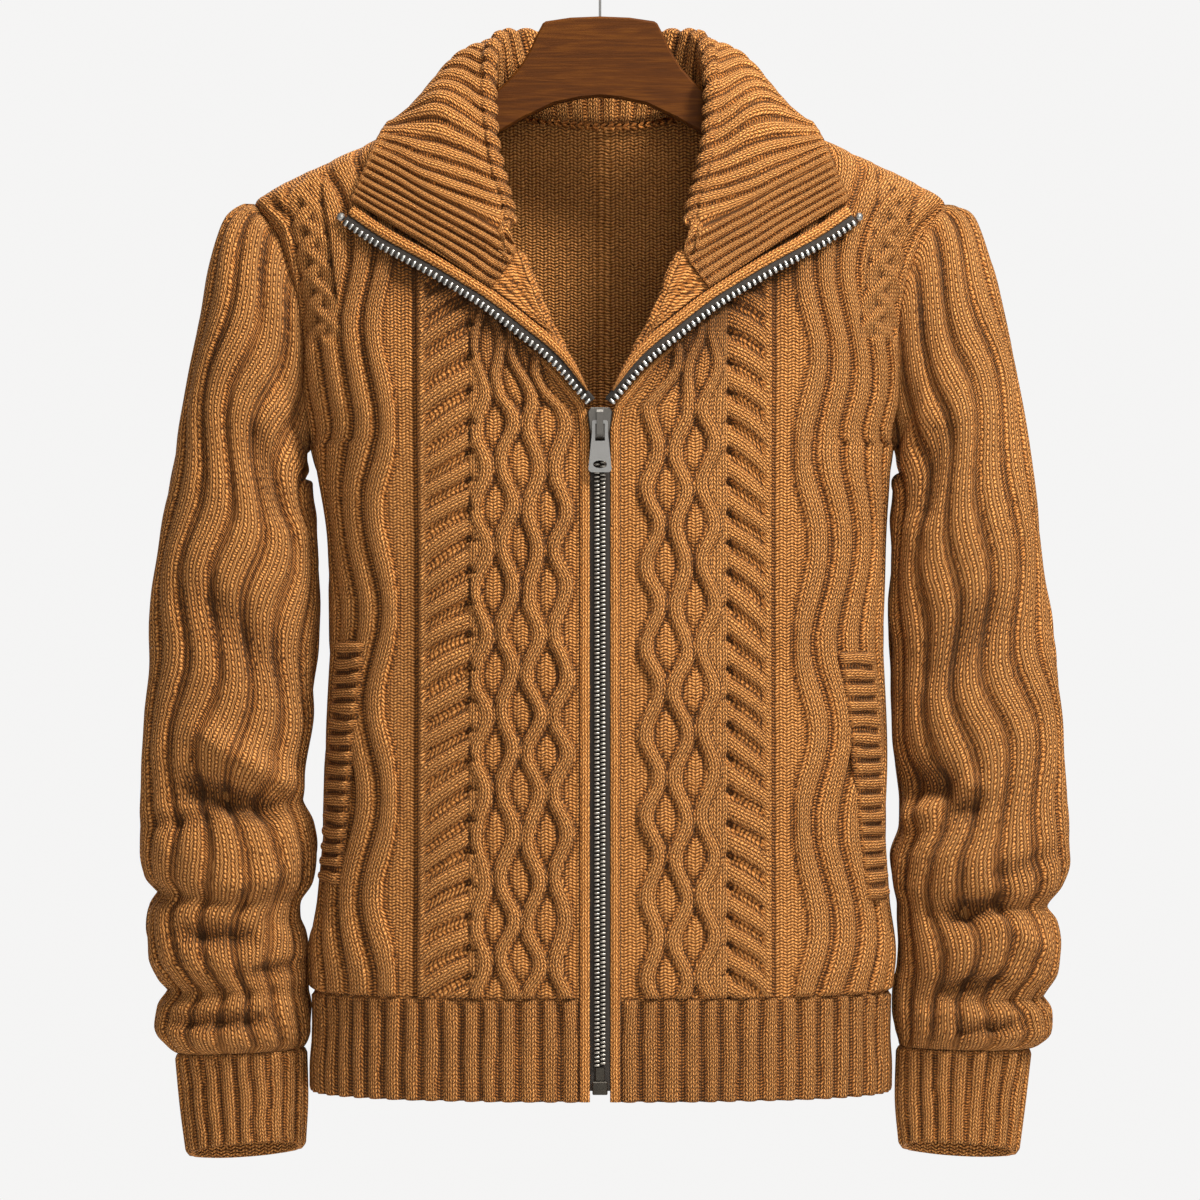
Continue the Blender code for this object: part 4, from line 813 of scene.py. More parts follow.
cuffs = {
    "ribs": 21, "rise": 2.5, "ribHalf": 0.36, "wales": 3, "tilt": 7.0,
    -1: [(286.5, 24.6, 198.0, 28.6, 34), (283.5, -9.0, 197.3, -3.0, 29), (279.0, -44.0, 199.0, -38.0, 28)],
    1: [(291.0, 28.1, 200.2, 29.6, 34), (287.0, -8.0, 199.3, -3.0, 29), (282.5, -43.0, 202.0, -38.0, 28)],
}


def evenRing(loop, count):
    # the same number of points, evenly spaced, on each half of a ring
    half = len(loop) // 2
    halves = []
    for part in (loop[:half + 1] if len(loop) % 2 else loop[:half], loop[half:]):
        length = runLength(part)
        spots = np.linspace(0, length[-1], count // 2 + 1)
        halves.append(np.stack([np.interp(spots, length, part[:, i]) for i in range(3)], axis=1))
    return np.concatenate([halves[0], halves[1][1:]])


def armholeRing(side, count):
    tip, underarm = garment["shoulderTip"], garment["underarm"]
    inwards = np.array([side * sleeves["armholeGap"], 0, 0])
    heights = np.concatenate([[tip], np.linspace(tip - 3, underarm + 3, 40), [underarm]])
    loop = []
    for face, order in (("front", heights), ("back", heights[::-1])):
        for height in order:
            inset = armInset(height)
            x, y = halfWidth[side](height) - inset, 0.0
            if inset > 0.2:
                y = onBody(side, face, alongAt(side, face, height, x), height)[..., 1]
            loop.append((side * float(x), float(y), height))
    loop = np.array(loop)
    away = loop - loop.mean(axis=0)
    away[:, 0] = 0
    away /= np.maximum(np.linalg.norm(away, axis=1, keepdims=True), 1e-6)
    loop = loop + inwards + away * 2 * garment["seam"]
    low = (loop[:, 2] < underarm + 20)[:, None]
    return evenRing(loop + inwards * low, count)


def tubeRing(side, row, count, tilt=0.0):
    # an oval round the arm, from its outer to its inner edge
    outer, inner, depth = np.array(row[:2]), np.array(row[2:4]), row[4]
    centre, reach = (outer + inner) / 2, (outer - inner) / 2
    reach = reach * (1 - sleeves["edgeRelief"] / np.linalg.norm(reach))
    turn = np.linspace(0, 2 * math.pi, 193)
    power = 2 / sleeves["squareness"]
    wide, deep = (np.sign(v) * np.abs(v) ** power for v in (np.cos(turn), np.sin(turn)))
    x, height = side * (centre[0] + reach[0] * wide), centre[1] + reach[1] * wide + tilt * deep
    return evenRing(np.stack([x, -depth * deep, height], axis=1), count)


def loft(rings, size):
    # a tube through rings, with even rows
    rings = np.array(rings)
    gaps = np.linalg.norm(np.diff(rings, axis=0), axis=2)
    travel = np.concatenate([[0], np.cumsum(np.maximum(gaps.mean(axis=1), 0.5))])
    spots = np.linspace(0, travel[-1], int(travel[-1] / size))
    return smoothCurve(travel, rings)(spots), spots


def tubeNormals(grid):
    wide = np.concatenate([grid[:, -2:-1], grid, grid[:, 1:2]], axis=1)
    centre = wide.mean(axis=1, keepdims=True)
    return gridNormals(wide, wide - centre)[:, 1:-1]


def drawnIn(side, points, normals):
    # how deep the creases go
    depth = np.zeros(points.shape[:2])
    spot = np.stack([np.abs(points[..., 0]), points[..., 2]], axis=-1)
    for face, x0, h0, x1, h1, deep, width in sleeves["folds"][side]:
        start, way = np.array([x0, h0], float), np.array([x1 - x0, h1 - h0], float)
        share = unit((spot - start) @ way / (way @ way))
        away = np.linalg.norm(spot - start - share[..., None] * way, axis=-1)
        swell = unit(normals[..., 1] * facing[face]) * (0.75 + 0.25 * np.sin(share * math.pi))
        depth += sleeves["foldDepth"] * deep * np.exp(-((away / width) ** 2)) * swell
    return depth


def downTheArm(ground, travel, ribs):
    # rib number and length along the arm; above the reference ring both are read off that ring, so
    # that the armhole seam cuts across the ribs
    count = ground.shape[1] - 1
    turn = np.broadcast_to(np.linspace(0, ribs, count + 1), ground.shape[:2]).copy()
    lengths = np.array([runLength(line) for line in ground.transpose(1, 0, 2)]).T
    last = int(np.searchsorted(travel, sleeves["capLength"]))
    flat = np.stack([np.abs(ground[..., 0]), ground[..., 2]], axis=-1)
    way = flat[last + 12].mean(axis=0) - flat[last].mean(axis=0)
    way /= np.linalg.norm(way)
    inward = np.array([way[1], -way[0]])
    inward *= -np.sign(inward[0])
    over, down = flat @ inward, flat @ way
    over = over - np.interp(down, down[:last + 1, 0], over[:last + 1, 0])  # from the sleeve's outer line
    own = step01(travel[:last, None], sleeves["capLength"] - sleeves["capBlend"], sleeves["capLength"])
    for columns in (slice(0, count // 2 + 1), slice(count // 2, count + 1)):
        order = np.argsort(over[last, columns])
        ring, above = over[last, columns][order], over[:last, columns]
        number, length, place = (np.interp(above, ring, values[last, columns][order])
                                 for values in (turn, lengths, down))
        length = length - (place - down[:last, columns])
        turn[:last, columns] = number * (1 - own) + turn[:last, columns] * own
        lengths[:last, columns] = length * (1 - own) + lengths[:last, columns] * own
    return turn, lengths


def buildSleeves():
    size = cell * 1.12
    count = 2 * round(290 / size / 2)
    for side, node in ((-1, "sleeve_left"), (1, "sleeve_right")):
        rings = [armholeRing(side, count)] + [tubeRing(side, row, count) for row in sleeves[side]]
        ground, travel = loft(rings, size)
        normals = tubeNormals(ground)
        turn, lengths = downTheArm(ground, travel, sleeves["ribs"])
        down, around = travel[:, None], turn * 20
        fade = unit(np.minimum(down / 9, (travel[-1] - down) / 14))
        angle = 2 * math.pi * turn / sleeves["ribs"]
        sway = sleeves["sway"] * np.sin(2 * math.pi * lengths / sleeves["swayLength"] + 2 * angle)
        sway += 0.07 * hills(sleeves["ribs"] * np.sin(angle) * 3, down, 51 + side, 120.0)
        rib = turn + 0.5 + sway * unit(fade * 2)
        raised = ribbed(rib, sleeves["ribHalf"])
        high = sleeves["rise"] * raised * (0.95 + 0.12 * hills(around, down, 61 + side, 50.0))
        relief = (high - 0.5 * (1 - raised)) * fade ** 0.6
        creases = drawnIn(side, ground, normals)
        swell = sleeves["swell"] * hills(around, down, 71 + side, 130.0) * fade
        base = ground + normals * (swell - creases)[..., None]
        spots = [(rib * sleeves["wales"] + 0.5, lengths / cables["course"])]
        # painted shade in the furrows and in the creases
        shade = unit(cavity(relief, 2.4, True) + sleeves["foldShade"] * np.clip(creases, 0, 9))
        clothPiece(node, *walls(base, normals, relief), spots, furrows(raised), shade, wools["knit"],
                   (0.3, 0.56), area=0.155, rests=["hanger_body"], tube=True)


def buildCuffs():
    count = 2 * round(230 / cell / 2)
    for side, node in ((-1, "cuff_left"), (1, "cuff_right")):
        tilts = np.linspace(0, cuffs["tilt"], len(cuffs[side]))
        rings = [tubeRing(side, row, count, tilt) for row, tilt in zip(cuffs[side], tilts)]
        ground, travel = loft(rings, cell)
        normals = tubeNormals(ground)
        turn, down = np.linspace(0, cuffs["ribs"], count + 1)[None, :], travel[:, None]
        rib = turn + 0.5 + 0.05 * hills(turn * 11, down, 91 + side, 50.0)
        raised = ribbed(rib, cuffs["ribHalf"], 2.6)
        ends = unit(np.minimum(down / 4 + 0.2, (travel[-1] - down) / 3 + 0.15)) ** 0.6
        relief = (cuffs["rise"] * raised - 0.6 * (1 - raised)) * ends
        spots = [(rib * cuffs["wales"] + 0.5, down / cables["course"] + 0 * turn)]
        # painted shade in the furrows
        clothPiece(node, *walls(ground, normals, relief), spots, furrows(raised),
                   cavity(relief, 2.0, True), wools["knit"], (0.22, 0.075), tube=True)


buildHem()
buildSleeves()
buildCuffs()


collar = {
    "wall": 3.5, "roll": 6.0, "ribs": 24, "rise": 2.3, "ribHalf": 0.385, "wales": 3, "clear": 2.4,
    # from the zip to the middle of the back: seam, roll, crest and edge, then the turn over the roll
    "rows": [
        ((72.0, -74.0, 536.5), (76.0, -74.5, 539.0), (118, -70.0, 567), (166, -56.0, 597.0), 10),
        ((63.5, -76.0, 549.0), (67.0, -76.0, 551.0), (112, -69.0, 578), (162, -53.0, 607.0), 30),
        ((55.5, -74.0, 562.0), (60.0, -71.0, 565.0), (107, -66.0, 590), (157, -50.0, 618.0), 100),
        ((65.0, -55.0, 589.0), (62.6, -62.0, 590.0), (106, -60.0, 606), (153, -43.0, 629.5), 170),
        ((72.0, -43.5, 616.5), (68.6, -53.0, 615.0), (107, -47.0, 631), (149, -27.0, 641.0), 180),
        ((78.9, -27.5, 644.0), (73.5, -39.0, 643.0), (109, -30.0, 664), (144, 4.0, 651.5), 180),
        ((83.5, -2.0, 671.0), (75.5, -21.0, 671.0), (107, 2.0, 684), (137, 31.0, 650.0), 180),
        ((74.0, 22.0, 667.5), (74.0, -1.0, 697.0), (97, 26.0, 699), (117, 55.0, 644.5), 180),
        ((50.0, 37.5, 661.0), (63.0, 30.0, 712.5), (74, 52.0, 704), (82, 70.0, 636.0), 180),
        ((25.0, 44.5, 656.7), (33.0, 50.0, 714.0), (37, 68.0, 701), (42, 78.0, 630.0), 180),
        ((0.0, 46.8, 655.4), (0.0, 56.5, 713.5), (0, 73.0, 700), (0, 81.0, 627.0), 180),
    ],
}


def smoothLine(points, samples=12):
    points = [np.asarray(p, float) for p in points]
    ends = [2 * points[0] - points[1]] + points + [2 * points[-1] - points[-2]]
    out = []
    for a, b, c, d in zip(ends, ends[1:], ends[2:], ends[3:]):
        for t in np.linspace(0, 1, samples, endpoint=False):
            bow = (2 * a - 5 * b + 4 * c - d) * t**2 + (3 * b - a - 3 * c + d) * t**3
            out.append(0.5 * (2 * b + (c - a) * t + bow))
    return np.array(out + [points[-1]])


def clearOfPanels(point):
    # moves a point of the collar out in front of, or behind, the turned-out cloth
    x, y, height = point
    face = "front" if y < 0 else "back"
    if height > shoulderHeight(x) or x > 225:
        return point
    ground = onBody(1, face, alongAt(1, face, height, x), height)[1]
    nearSeam = 1 + 0.4 * float(np.clip(1 - (shoulderHeight(x) - height) / 30, 0, 1))
    clear = facing[face] * (abs(ground) + (garment["lift"] + collar["wall"] + collar["clear"]) * nearSeam)
    return np.array([x, min(y, clear) if face == "front" else max(y, clear), height])


def collarSection(tables, turns, step, shares):
    # one line across the collar, from its seam over the roll to its free edge
    seam, roll, crest, edge = (tables(step)[k] for k in range(4))
    bend = math.radians(float(turns(step)))
    if bend < math.radians(60):
        line = smoothLine([seam, roll, crest, edge])
        stations = [0, 3, 6, 12, 40, 72]
    else:
        up = (roll - seam) / np.linalg.norm(roll - seam)
        out = crest - roll
        out = out - (out @ up) * up
        out /= np.linalg.norm(out)
        turns = np.linspace(math.pi - bend, math.pi, 7)
        arc = [roll + collar["roll"] * (up * math.sin(a) - out * math.cos(a)) for a in turns]
        line = smoothLine([seam] + arc + [crest, edge])
        length = runLength(line)
        first = max(length[12], 4.0)
        last = max(length[12 * 7], first + 6)
        fall = length[-1] - last
        stations = [0, first, (first + last) / 2, last, last + fall * 0.36, last + fall * 0.7]
    length = runLength(line)
    stations = [min(s, length[-1] - 8) for s in stations] + [length[-1]]
    where = np.interp(shares, [0, 0.12, 0.17, 0.22, 0.5, 0.76, 1.0], stations)
    points = np.stack([np.interp(where, length, line[:, i]) for i in range(3)], axis=1)
    upTo = 0.2 if bend >= math.radians(155) else -1.0  # the folded collar is held off beyond its roll
    return np.array([clearOfPanels(p) if s > upTo else p for p, s in zip(points, shares)])


def buildCollar():
    size = cell * 0.95
    tables = smoothCurve(range(11), [row[:4] for row in collar["rows"]])
    turns = smoothCurve(range(11), [row[4] for row in collar["rows"]])
    steps = np.linspace(0, 10, int(400 / size) | 1)
    shares = np.linspace(0, 1, int(125 / size))
    half = np.array([collarSection(tables, turns, step, shares) for step in steps])
    for _ in range(3):
        half[1:-1] = (half[:-2] + 2 * half[1:-1] + half[2:]) / 4
    left = half * np.array([-1, 1, 1])
    ground = np.concatenate([left, half[-2::-1]])
    normals = gridNormals(ground, np.zeros_like(ground))
    if normals[len(half) - 1, max(1, len(shares) // 16), 1] > 0:
        normals = -normals
    count = np.concatenate([steps, 20 - steps[-2::-1]])[:, None] * collar["ribs"] / 10
    across = shares[None, :]
    rib = count + 0.05 * hills(count * 9, across * 120, 7, 45.0)
    raised = ribbed(rib, collar["ribHalf"], 2.6, 0.5)
    ends = unit(np.minimum(across / 0.05 + 0.2, (1 - across) / 0.035 + 0.1))
    ends *= 0.72 + 0.28 * step01(across, 0.2, 0.3) + 0.28 * (across < 0.12)  # flatter over the roll
    relief = (collar["rise"] * raised - 0.7 * (1 - raised)) * ends
    relief[:2], relief[-2:] = 0.3, 0.3
    travel = np.array([runLength(line) for line in ground])
    spots = [(rib * collar["wales"], travel / cables["course"])]
    # painted shade in the furrows, and a band of painted shade along the roll
    shade = unit(cavity(relief, 2.6) + 0.25 * np.exp(-((across - 0.15) / 0.05) ** 2))
    clothPiece("collar", *walls(ground, normals, relief, collar["wall"]), spots, furrows(raised), shade,
               wools["collar"], (0.75, 0.125), rests=["hanger_body"])


edges = {
    "band": (6.6, 13.7), "beside": 2.6,
    "turned": (4.3, 11.7),
    "zipLine": [  # x and height of the open zip's teeth, from the slider to the top stop
        (6.5, 460), (9.5, 463.5), (16, 471), (25, 481.5), (37, 493), (52, 504.5), (66, 515.5),
        (79.5, 525.5), (95, 535.5), (112, 546), (130, 556), (148, 566.5), (168, 580.5),
    ],
    "narrowing": [(1.3, 0.16), (2.2, 0.5), (3.2, 0.82), (4.4, 1.0), (12, 1.0)],  # of the turned band
    "roll": [(466, 9.5), (475, 13.6), (490, 20.0), (505, 27.4), (520, 34.8), (540, 42.8), (562, 51.0)],
    "lapel": (480.0, 559.0), "lapelSteps": (2.45, 6.95), "lapelGap": 0.5, "lapelLength": 80.0,
    "bandTop": 446.0, "bandFoot": 0.6, "bandShade": 0.05, "seamShade": 0.7,
    "leafShade": 0.9, "leafReach": 17.0,
    "cell": min(cell, 1.7),
}
zipCurve = smoothCurve(range(13), edges["zipLine"])
rollX = smoothCurve(*zip(*edges["roll"]))


def zipAt(step):
    # a place on the open zip, with the direction in from its teeth across the cloth
    step = np.asarray(step, float)
    way = zipCurve(step + 0.02) - zipCurve(step - 0.02)
    way /= np.linalg.norm(way, axis=-1, keepdims=True)
    return zipCurve(step), np.stack([-way[..., 1], way[..., 0]], axis=-1)


def liftAt(step):
    return np.interp(step, [0, 2, 3.5, 6, 12], [1.5, 4.4, 5.2, 5.6, 5.6])


def bandPiece(side, node, places, lifts, thick, travel, flat, area):
    # places: x and height on the front; lifts: how far the outer face stands in front of the ground
    x, heights = places[..., 0], places[..., 1]
    outer, inner = onFront(side, x, heights, lifts), onFront(side, x, heights, lifts - thick)
    across = np.linspace(0, 2, x.shape[1])[None, :] + 0 * x
    # painted shade: a little over the whole band, much more on its last two columns, where it meets the
    # front
    shade = np.full(x.shape, edges["bandShade"])
    shade[:, -2:] = edges["seamShade"]
    spots = [(across, travel / cables["course"] + 0 * across)]
    clothPiece(node, outer, inner, spots, 0 * across, shade, wools["edge"], flat, area=area, innerStep=3)


def turnedReach(full, share):
    # how far in from the teeth the turned band lies, from its inner to its outer edge
    near, far = edges["turned"]
    return near - 1.5 * (1 - full) + (far - near) * full * share


def crown(share, power):
    return unit(1 - np.abs(2 * share - 1) ** power) ** 0.6


def buildEdges():
    size, share = edges["cell"], np.linspace(0, 1, 11)[None, :]
    near, far = edges["band"]
    for side, tag in ((-1, "left"), (1, "right")):
        heights = np.linspace(edges["bandFoot"], edges["bandTop"], int(edges["bandTop"] / size))[:, None]
        x = near + (far - near) * share + 0 * heights
        low = np.stack([x, heights + 0 * x], axis=-1)
        steps = np.linspace(0.5, 5.6, int(64 / size))
        spot, inward = zipAt(steps)
        thin = np.interp(steps, [0, 2.6, 5.6], [1, 0.85, 0.12])[:, None]
        reach = edges["beside"] + (far - near) * share * thin
        places = np.concatenate([low, spot[:, None] - inward[:, None] * reach[..., None]])
        for _ in range(3):
            places[1:-1] = (places[:-2] + 2 * places[1:-1] + places[2:]) / 4
        travel = runLength(places[:, 5])[:, None]
        twist = 0.28 * np.sin(2 * math.pi * (travel / 4.3 + share * 0.9)) * step01(share, 0.45, 0.75)
        uneven = 0.12 * hills(places[..., 0], places[..., 1], 15 + side, 30.0)
        lift = 0.1 + 1.9 * crown(share, 2.6) + twist + uneven
        bandPiece(side, f"band_{tag}", places, lift, lift + garment["wall"], travel,
                  (0.013, 0.515), 0.0038)
        steps = np.linspace(1.3, 12, int(172 / size))[:, None]
        spot, inward = zipAt(steps[:, 0])
        reach = turnedReach(np.interp(steps, *zip(*edges["narrowing"])), share)
        places = spot[:, None] + inward[:, None] * reach[..., None]
        travel = runLength(spot)[:, None]
        twist = 0.3 * np.sin(2 * math.pi * (travel / 4.6 + share * 0.7)) * step01(1 - share, 0.3, 0.8)
        thick = 2.0 + 2.4 * crown(share, 2.4) + twist
        bandPiece(side, f"turned_band_{tag}", places, liftAt(steps) + 0.2 + thick, thick, travel,
                  (0.013, 0.155), 0.0019)
        buildLapel(side, f"lapel_{tag}")


def buildLapel(side, node):
    # rows from the zip's edge over the roll line, each turned round and then flat to the turned band
    rows = []
    for share in np.linspace(0, 1, int(edges["lapelLength"] / edges["cell"])):
        height, step = (float(np.interp(share, [0, 1], edges[key])) for key in ("lapel", "lapelSteps"))
        radius = (garment["lift"] + 0.9) * float(np.interp(share, [0, 0.4], [0.62, 1]))
        start = float(rollX(height))
        spot, inward = zipAt(step)
        full = float(np.interp(step, *zip(*edges["narrowing"])))
        edge = spot + inward * (turnedReach(full, 1) + edges["lapelGap"])
        angles = np.radians(np.linspace(-90, 90, 15))
        turned = np.stack([start + radius * (1 - np.cos(angles)), np.full(15, height)], axis=1)
        lift = radius * np.sin(angles) + radius - garment["wall"]
        part = np.linspace(0, 1, 22)[1:, None]
        turnedTo = np.array([start + radius, height])
        places = np.concatenate([turned, turnedTo + (edge - turnedTo) * part])
        lifts = np.concatenate([lift, 2 * radius - garment["wall"] + 0.4 + 0.4 * part[:, 0]])
        rows.append(onFront(side, places[:, 0], places[:, 1], lifts))
    ground = np.array(rows)
    middle = len(rows) // 2
    normals = gridNormals(ground, np.zeros_like(ground) + 1)
    if normals[middle, 25, 1] > 0:
        normals = -normals
    across, along = runLength(ground[middle])[None, :] + 0 * ground[..., 0], ground[..., 2]
    wave = 0.5 * np.sin(2 * math.pi * along / 21)
    relief = 1.3 * np.abs(np.sin(math.pi * (across / 6.2 - along / 9.0 + wave))) ** 0.8
    relief += 0.25 * hills(across, along, 3 + side, 12.0)
    relief *= unit(np.minimum(np.arange(len(rows)), np.arange(len(rows))[::-1]) / 3)[:, None]
    spots = [(across / cables["waleWidth"], along / cables["course"])]
    # painted shade in the lapel's furrows
    clothPiece(node, *walls(ground, normals, relief), spots, np.full(relief.shape, 0.85),
               1.6 * cavity(relief, 3.2), wools["knit"], (0.05, 0.085), area=0.0028, innerStep=3)


pockets = {
    -1: ((304.0, 65.0, 35.0), (140.0, 50.0, 20.0)), 1: ((296.0, 72.0, 40.0), (130.0, 52.0, 22.0)),
    "ridges": 16, "off": 3.3, "wall": 2.0, "rise": 2.4, "length": 166.0, "width": 26.0,
    "cell": min(cell, 1.5),
}


def buildPockets():
    for side, tag in ((-1, "left"), (1, "right")):
        (top, topIn, topOut), (bottom, bottomIn, bottomOut) = pockets[side]
        share = np.linspace(0, 1, int(pockets["length"] / pockets["cell"]))[:, None]
        part = np.linspace(0, 1, 20)[None, :]
        height = bottom + (top - bottom) * share
        start = bottomIn + (topIn - bottomIn) * share
        end = bottomOut + (topOut - bottomOut) * share
        along = girthAt(side, "front", height) - (start + (end - start) * part)
        ground = onBody(side, "front", along, height + 0 * along)
        normals = gridNormals(ground, ground * np.array([1, 1, 0]))
        across = part * pockets["width"]
        rib = share * pockets["ridges"] + 0.05 * hills(across, height, 21 + side, 30.0)
        raised = ribbed(rib, 0.36, 2.4, 0.5)
        ends = unit(np.minimum(part, 1 - part) / 0.09) ** 0.5
        ends = ends * unit(np.minimum(share, 1 - share) / 0.012) ** 0.5
        relief = pockets["rise"] * raised * ends - 0.5 * (1 - raised) - 0.8 * (1 - ends)
        high = pockets["off"] + pockets["wall"] + relief
        outer, inner = walls(ground, normals, high, 0.6 - pockets["off"])
        spots = [(rib * 3, across / cables["course"] + 0 * rib)]
        # painted shade in the welt's furrows
        clothPiece(f"pocket_welt_{tag}", outer, inner, spots, furrows(raised, 0.15),
                   cavity(relief, 2.6, size=pockets["cell"]), wools["knit"], (0.027, 0.166), innerStep=4)


def paintedLeafShadow(ground):
    # painted shadow cast by the turned-out edge onto the front, below the open zip
    line, inward = zipAt(np.linspace(1.6, 12, 90))
    spots = np.stack([np.abs(ground[..., 0]), ground[..., 2]], axis=-1).reshape(-1, 2)
    close, beneath = np.full(len(spots), 1e9), np.zeros(len(spots))
    for k, (place, way) in enumerate(zip(line, inward)):
        away = spots - place
        far, outwards = np.hypot(away[:, 0], away[:, 1]), -(away @ way)
        dark = min(1.0, (89 - k) / 30) * np.exp(-np.maximum(outwards, 0) / edges["leafReach"])
        dark = dark * (outwards > -30)
        beneath = np.where(far < close, dark, beneath)
        close = np.minimum(far, close)
    return (edges["leafShade"] * beneath * step01(spots[:, 1], 464, 500)).reshape(ground.shape[:2])


buildFronts()
buildBack()
buildCollar()
buildEdges()
buildPockets()


def rowTree(name, shape, finish):
    # sets one small shape on each point, turned to the point's own way and face
    tree = bpy.data.node_groups.new(name + "Row", "GeometryNodeTree")
    tree.interface.new_socket("Points", in_out="INPUT", socket_type="NodeSocketGeometry")
    for label, kind in (("Size", "Float"), ("Jitter", "Float"), ("Seed", "Int")):
        tree.interface.new_socket(label, in_out="INPUT", socket_type="NodeSocket" + kind)
    tree.interface.new_socket("Row", in_out="OUTPUT", socket_type="NodeSocketGeometry")
    node, link = tree.nodes.new, tree.links.new
    start, end = node("NodeGroupInput"), node("NodeGroupOutput")
    source, instance = node("GeometryNodeObjectInfo"), node("GeometryNodeInstanceOnPoints")
    real, paint = node("GeometryNodeRealizeInstances"), node("GeometryNodeSetMaterial")
    source.inputs[0].default_value = shape
    paint.inputs["Material"].default_value = finish
    turn, chance = node("FunctionNodeAxesToRotation"), node("FunctionNodeRandomValue")
    turn.primary_axis, turn.secondary_axis = "X", "Z"
    for slot, key in enumerate(("way", "face")):
        read = node("GeometryNodeInputNamedAttribute")
        read.data_type = "FLOAT_VECTOR"
        read.inputs["Name"].default_value = key
        link(read.outputs["Attribute"], turn.inputs[slot])
    for slot, operation in ((2, "SUBTRACT"), (3, "ADD")):
        bound = node("ShaderNodeMath")
        bound.operation = operation
        link(start.outputs["Size"], bound.inputs[0])
        link(start.outputs["Jitter"], bound.inputs[1])
        link(bound.outputs[0], chance.inputs[slot])
    link(start.outputs["Seed"], chance.inputs["Seed"])
    link(start.outputs["Points"], instance.inputs["Points"])
    link(source.outputs["Geometry"], instance.inputs["Instance"])
    link(turn.outputs[0], instance.inputs["Rotation"])
    link(chance.outputs[1], instance.inputs["Scale"])
    for before, after in ((instance, real), (real, paint), (paint, end)):
        link(before.outputs[0], after.inputs[0])
    return tree


def rowOfShapes(name, shape, spots, ways, faces, finish, jitter=0.04, seed=3):
    # one mesh from a small shape that is set along points
    mesh = bpy.data.meshes.new(name)
    mesh.from_pydata(inWorld(spots).tolist(), [], [])
    for key, values in (("way", ways), ("face", faces)):
        made = mesh.attributes.new(key, "FLOAT_VECTOR", "POINT")
        made.data.foreach_set("vector", np.asarray(values, np.float32).ravel())
    holder = putIn(name, mesh)
    modifier = holder.modifiers.new("Row", "NODES")
    modifier.node_group = rowTree(name, shape, finish)
    for item in modifier.node_group.interface.items_tree:
        if item.name in ("Size", "Jitter", "Seed"):
            modifier[item.identifier] = {"Size": 1.0, "Jitter": jitter, "Seed": seed}[item.name]
    bpy.context.view_layer.update()
    made = bpy.data.meshes.new_from_object(holder.evaluated_get(bpy.context.evaluated_depsgraph_get()))
    holder.modifiers.remove(modifier)
    holder.data = made
    if not made.materials:
        made.materials.append(finish)
    made.shade_smooth()
    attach(holder, "garment")
    bpy.data.objects.remove(shape, do_unlink=True)
    print(name, "has", len(spots), "shapes")


def smallShape(name, sizes, soft=None):
    # a block with its edges softened by this much, or else a bead; sizes in millimetres
    bm = bmesh.new()
    scale = Matrix.Diagonal((*(size / 1000 for size in sizes), 1))
    if soft:
        bmesh.ops.create_cube(bm, size=1.0, matrix=scale)
        bmesh.ops.bevel(bm, geom=bm.edges[:], offset=soft / 1000, segments=1, affect="EDGES", profile=0.6)
    else:
        bmesh.ops.create_uvsphere(bm, u_segments=8, v_segments=6, radius=0.5, matrix=scale)
    mesh = bpy.data.meshes.new(name)
    bm.to_mesh(mesh)
    bm.free()
    return putIn(name, mesh)


def metalFinish(name, dark, light, rough, scratch):
    f = Finish(name)
    cloud, fine = f.noise(60.0, 4.0), f.noise(900.0)
    roughness = (rough + (cloud - 0.5) * 0.18 + (fine - 0.5) * 0.1).clamp()
    colour = f.mixColour(cloud * 0.7 + fine * 0.3, dark, light)
    f.feed(Base_Color=colour, Metallic=1.0, Roughness=roughness)
    f.bump(fine, scratch)
    return f.material


weave = {
    "across": 5200.0, "along": 4200.0, "depth": 0.0002,
    "dark": (0.009, 0.0065, 0.0045), "light": (0.034, 0.025, 0.017),
}


def tapeFinish():
    f = Finish("wovenTape")
    across, _, along = f.parts(f.make("ShaderNodeTexCoord", out="Object"))
    threads = ((along * weave["along"]).sine() * (across * weave["across"]).sine() + 1.0) * 0.5
    f.feed(Base_Color=f.mixColour(threads, weave["dark"], weave["light"]), Roughness=0.9)
    f.bump(threads, weave["depth"])
    return f.material


wood = {
    "dark": (0.026, 0.0070, 0.0006), "middle": (0.070, 0.019, 0.0012), "light": (0.150, 0.048, 0.004),
    "grain": (5.0, 60.0, 70.0), "pores": (60.0, 900.0, 900.0),
}


def walnutFinish():
    f = Finish("darkWalnut")
    place = f.make("ShaderNodeTexCoord", out="Object")
    stretched = {key: f.make("ShaderNodeMapping", None, {"Vector": place, "Scale": wood[key]})
                 for key in ("grain", "pores")}
    flow = f.noise(1.6, 5.0, stretched["grain"], 0.8)
    rings = ((flow * 34.0).sine() + 1.0) * 0.5
    pores = f.noise(1.0, 3.0, stretched["pores"])
    tone = (rings * 0.22 + flow * 0.3 + pores * 0.5 - 0.06).clamp()
    colour = f.ramp(tone, (0.0, wood["dark"]), (0.45, wood["middle"]), (1.0, wood["light"]))
    f.feed(Base_Color=colour, Roughness=(0.5 + pores * 0.2).clamp(), Specular_IOR_Level=0.1)
    f.bump(pores, 0.00018)
    return f.material


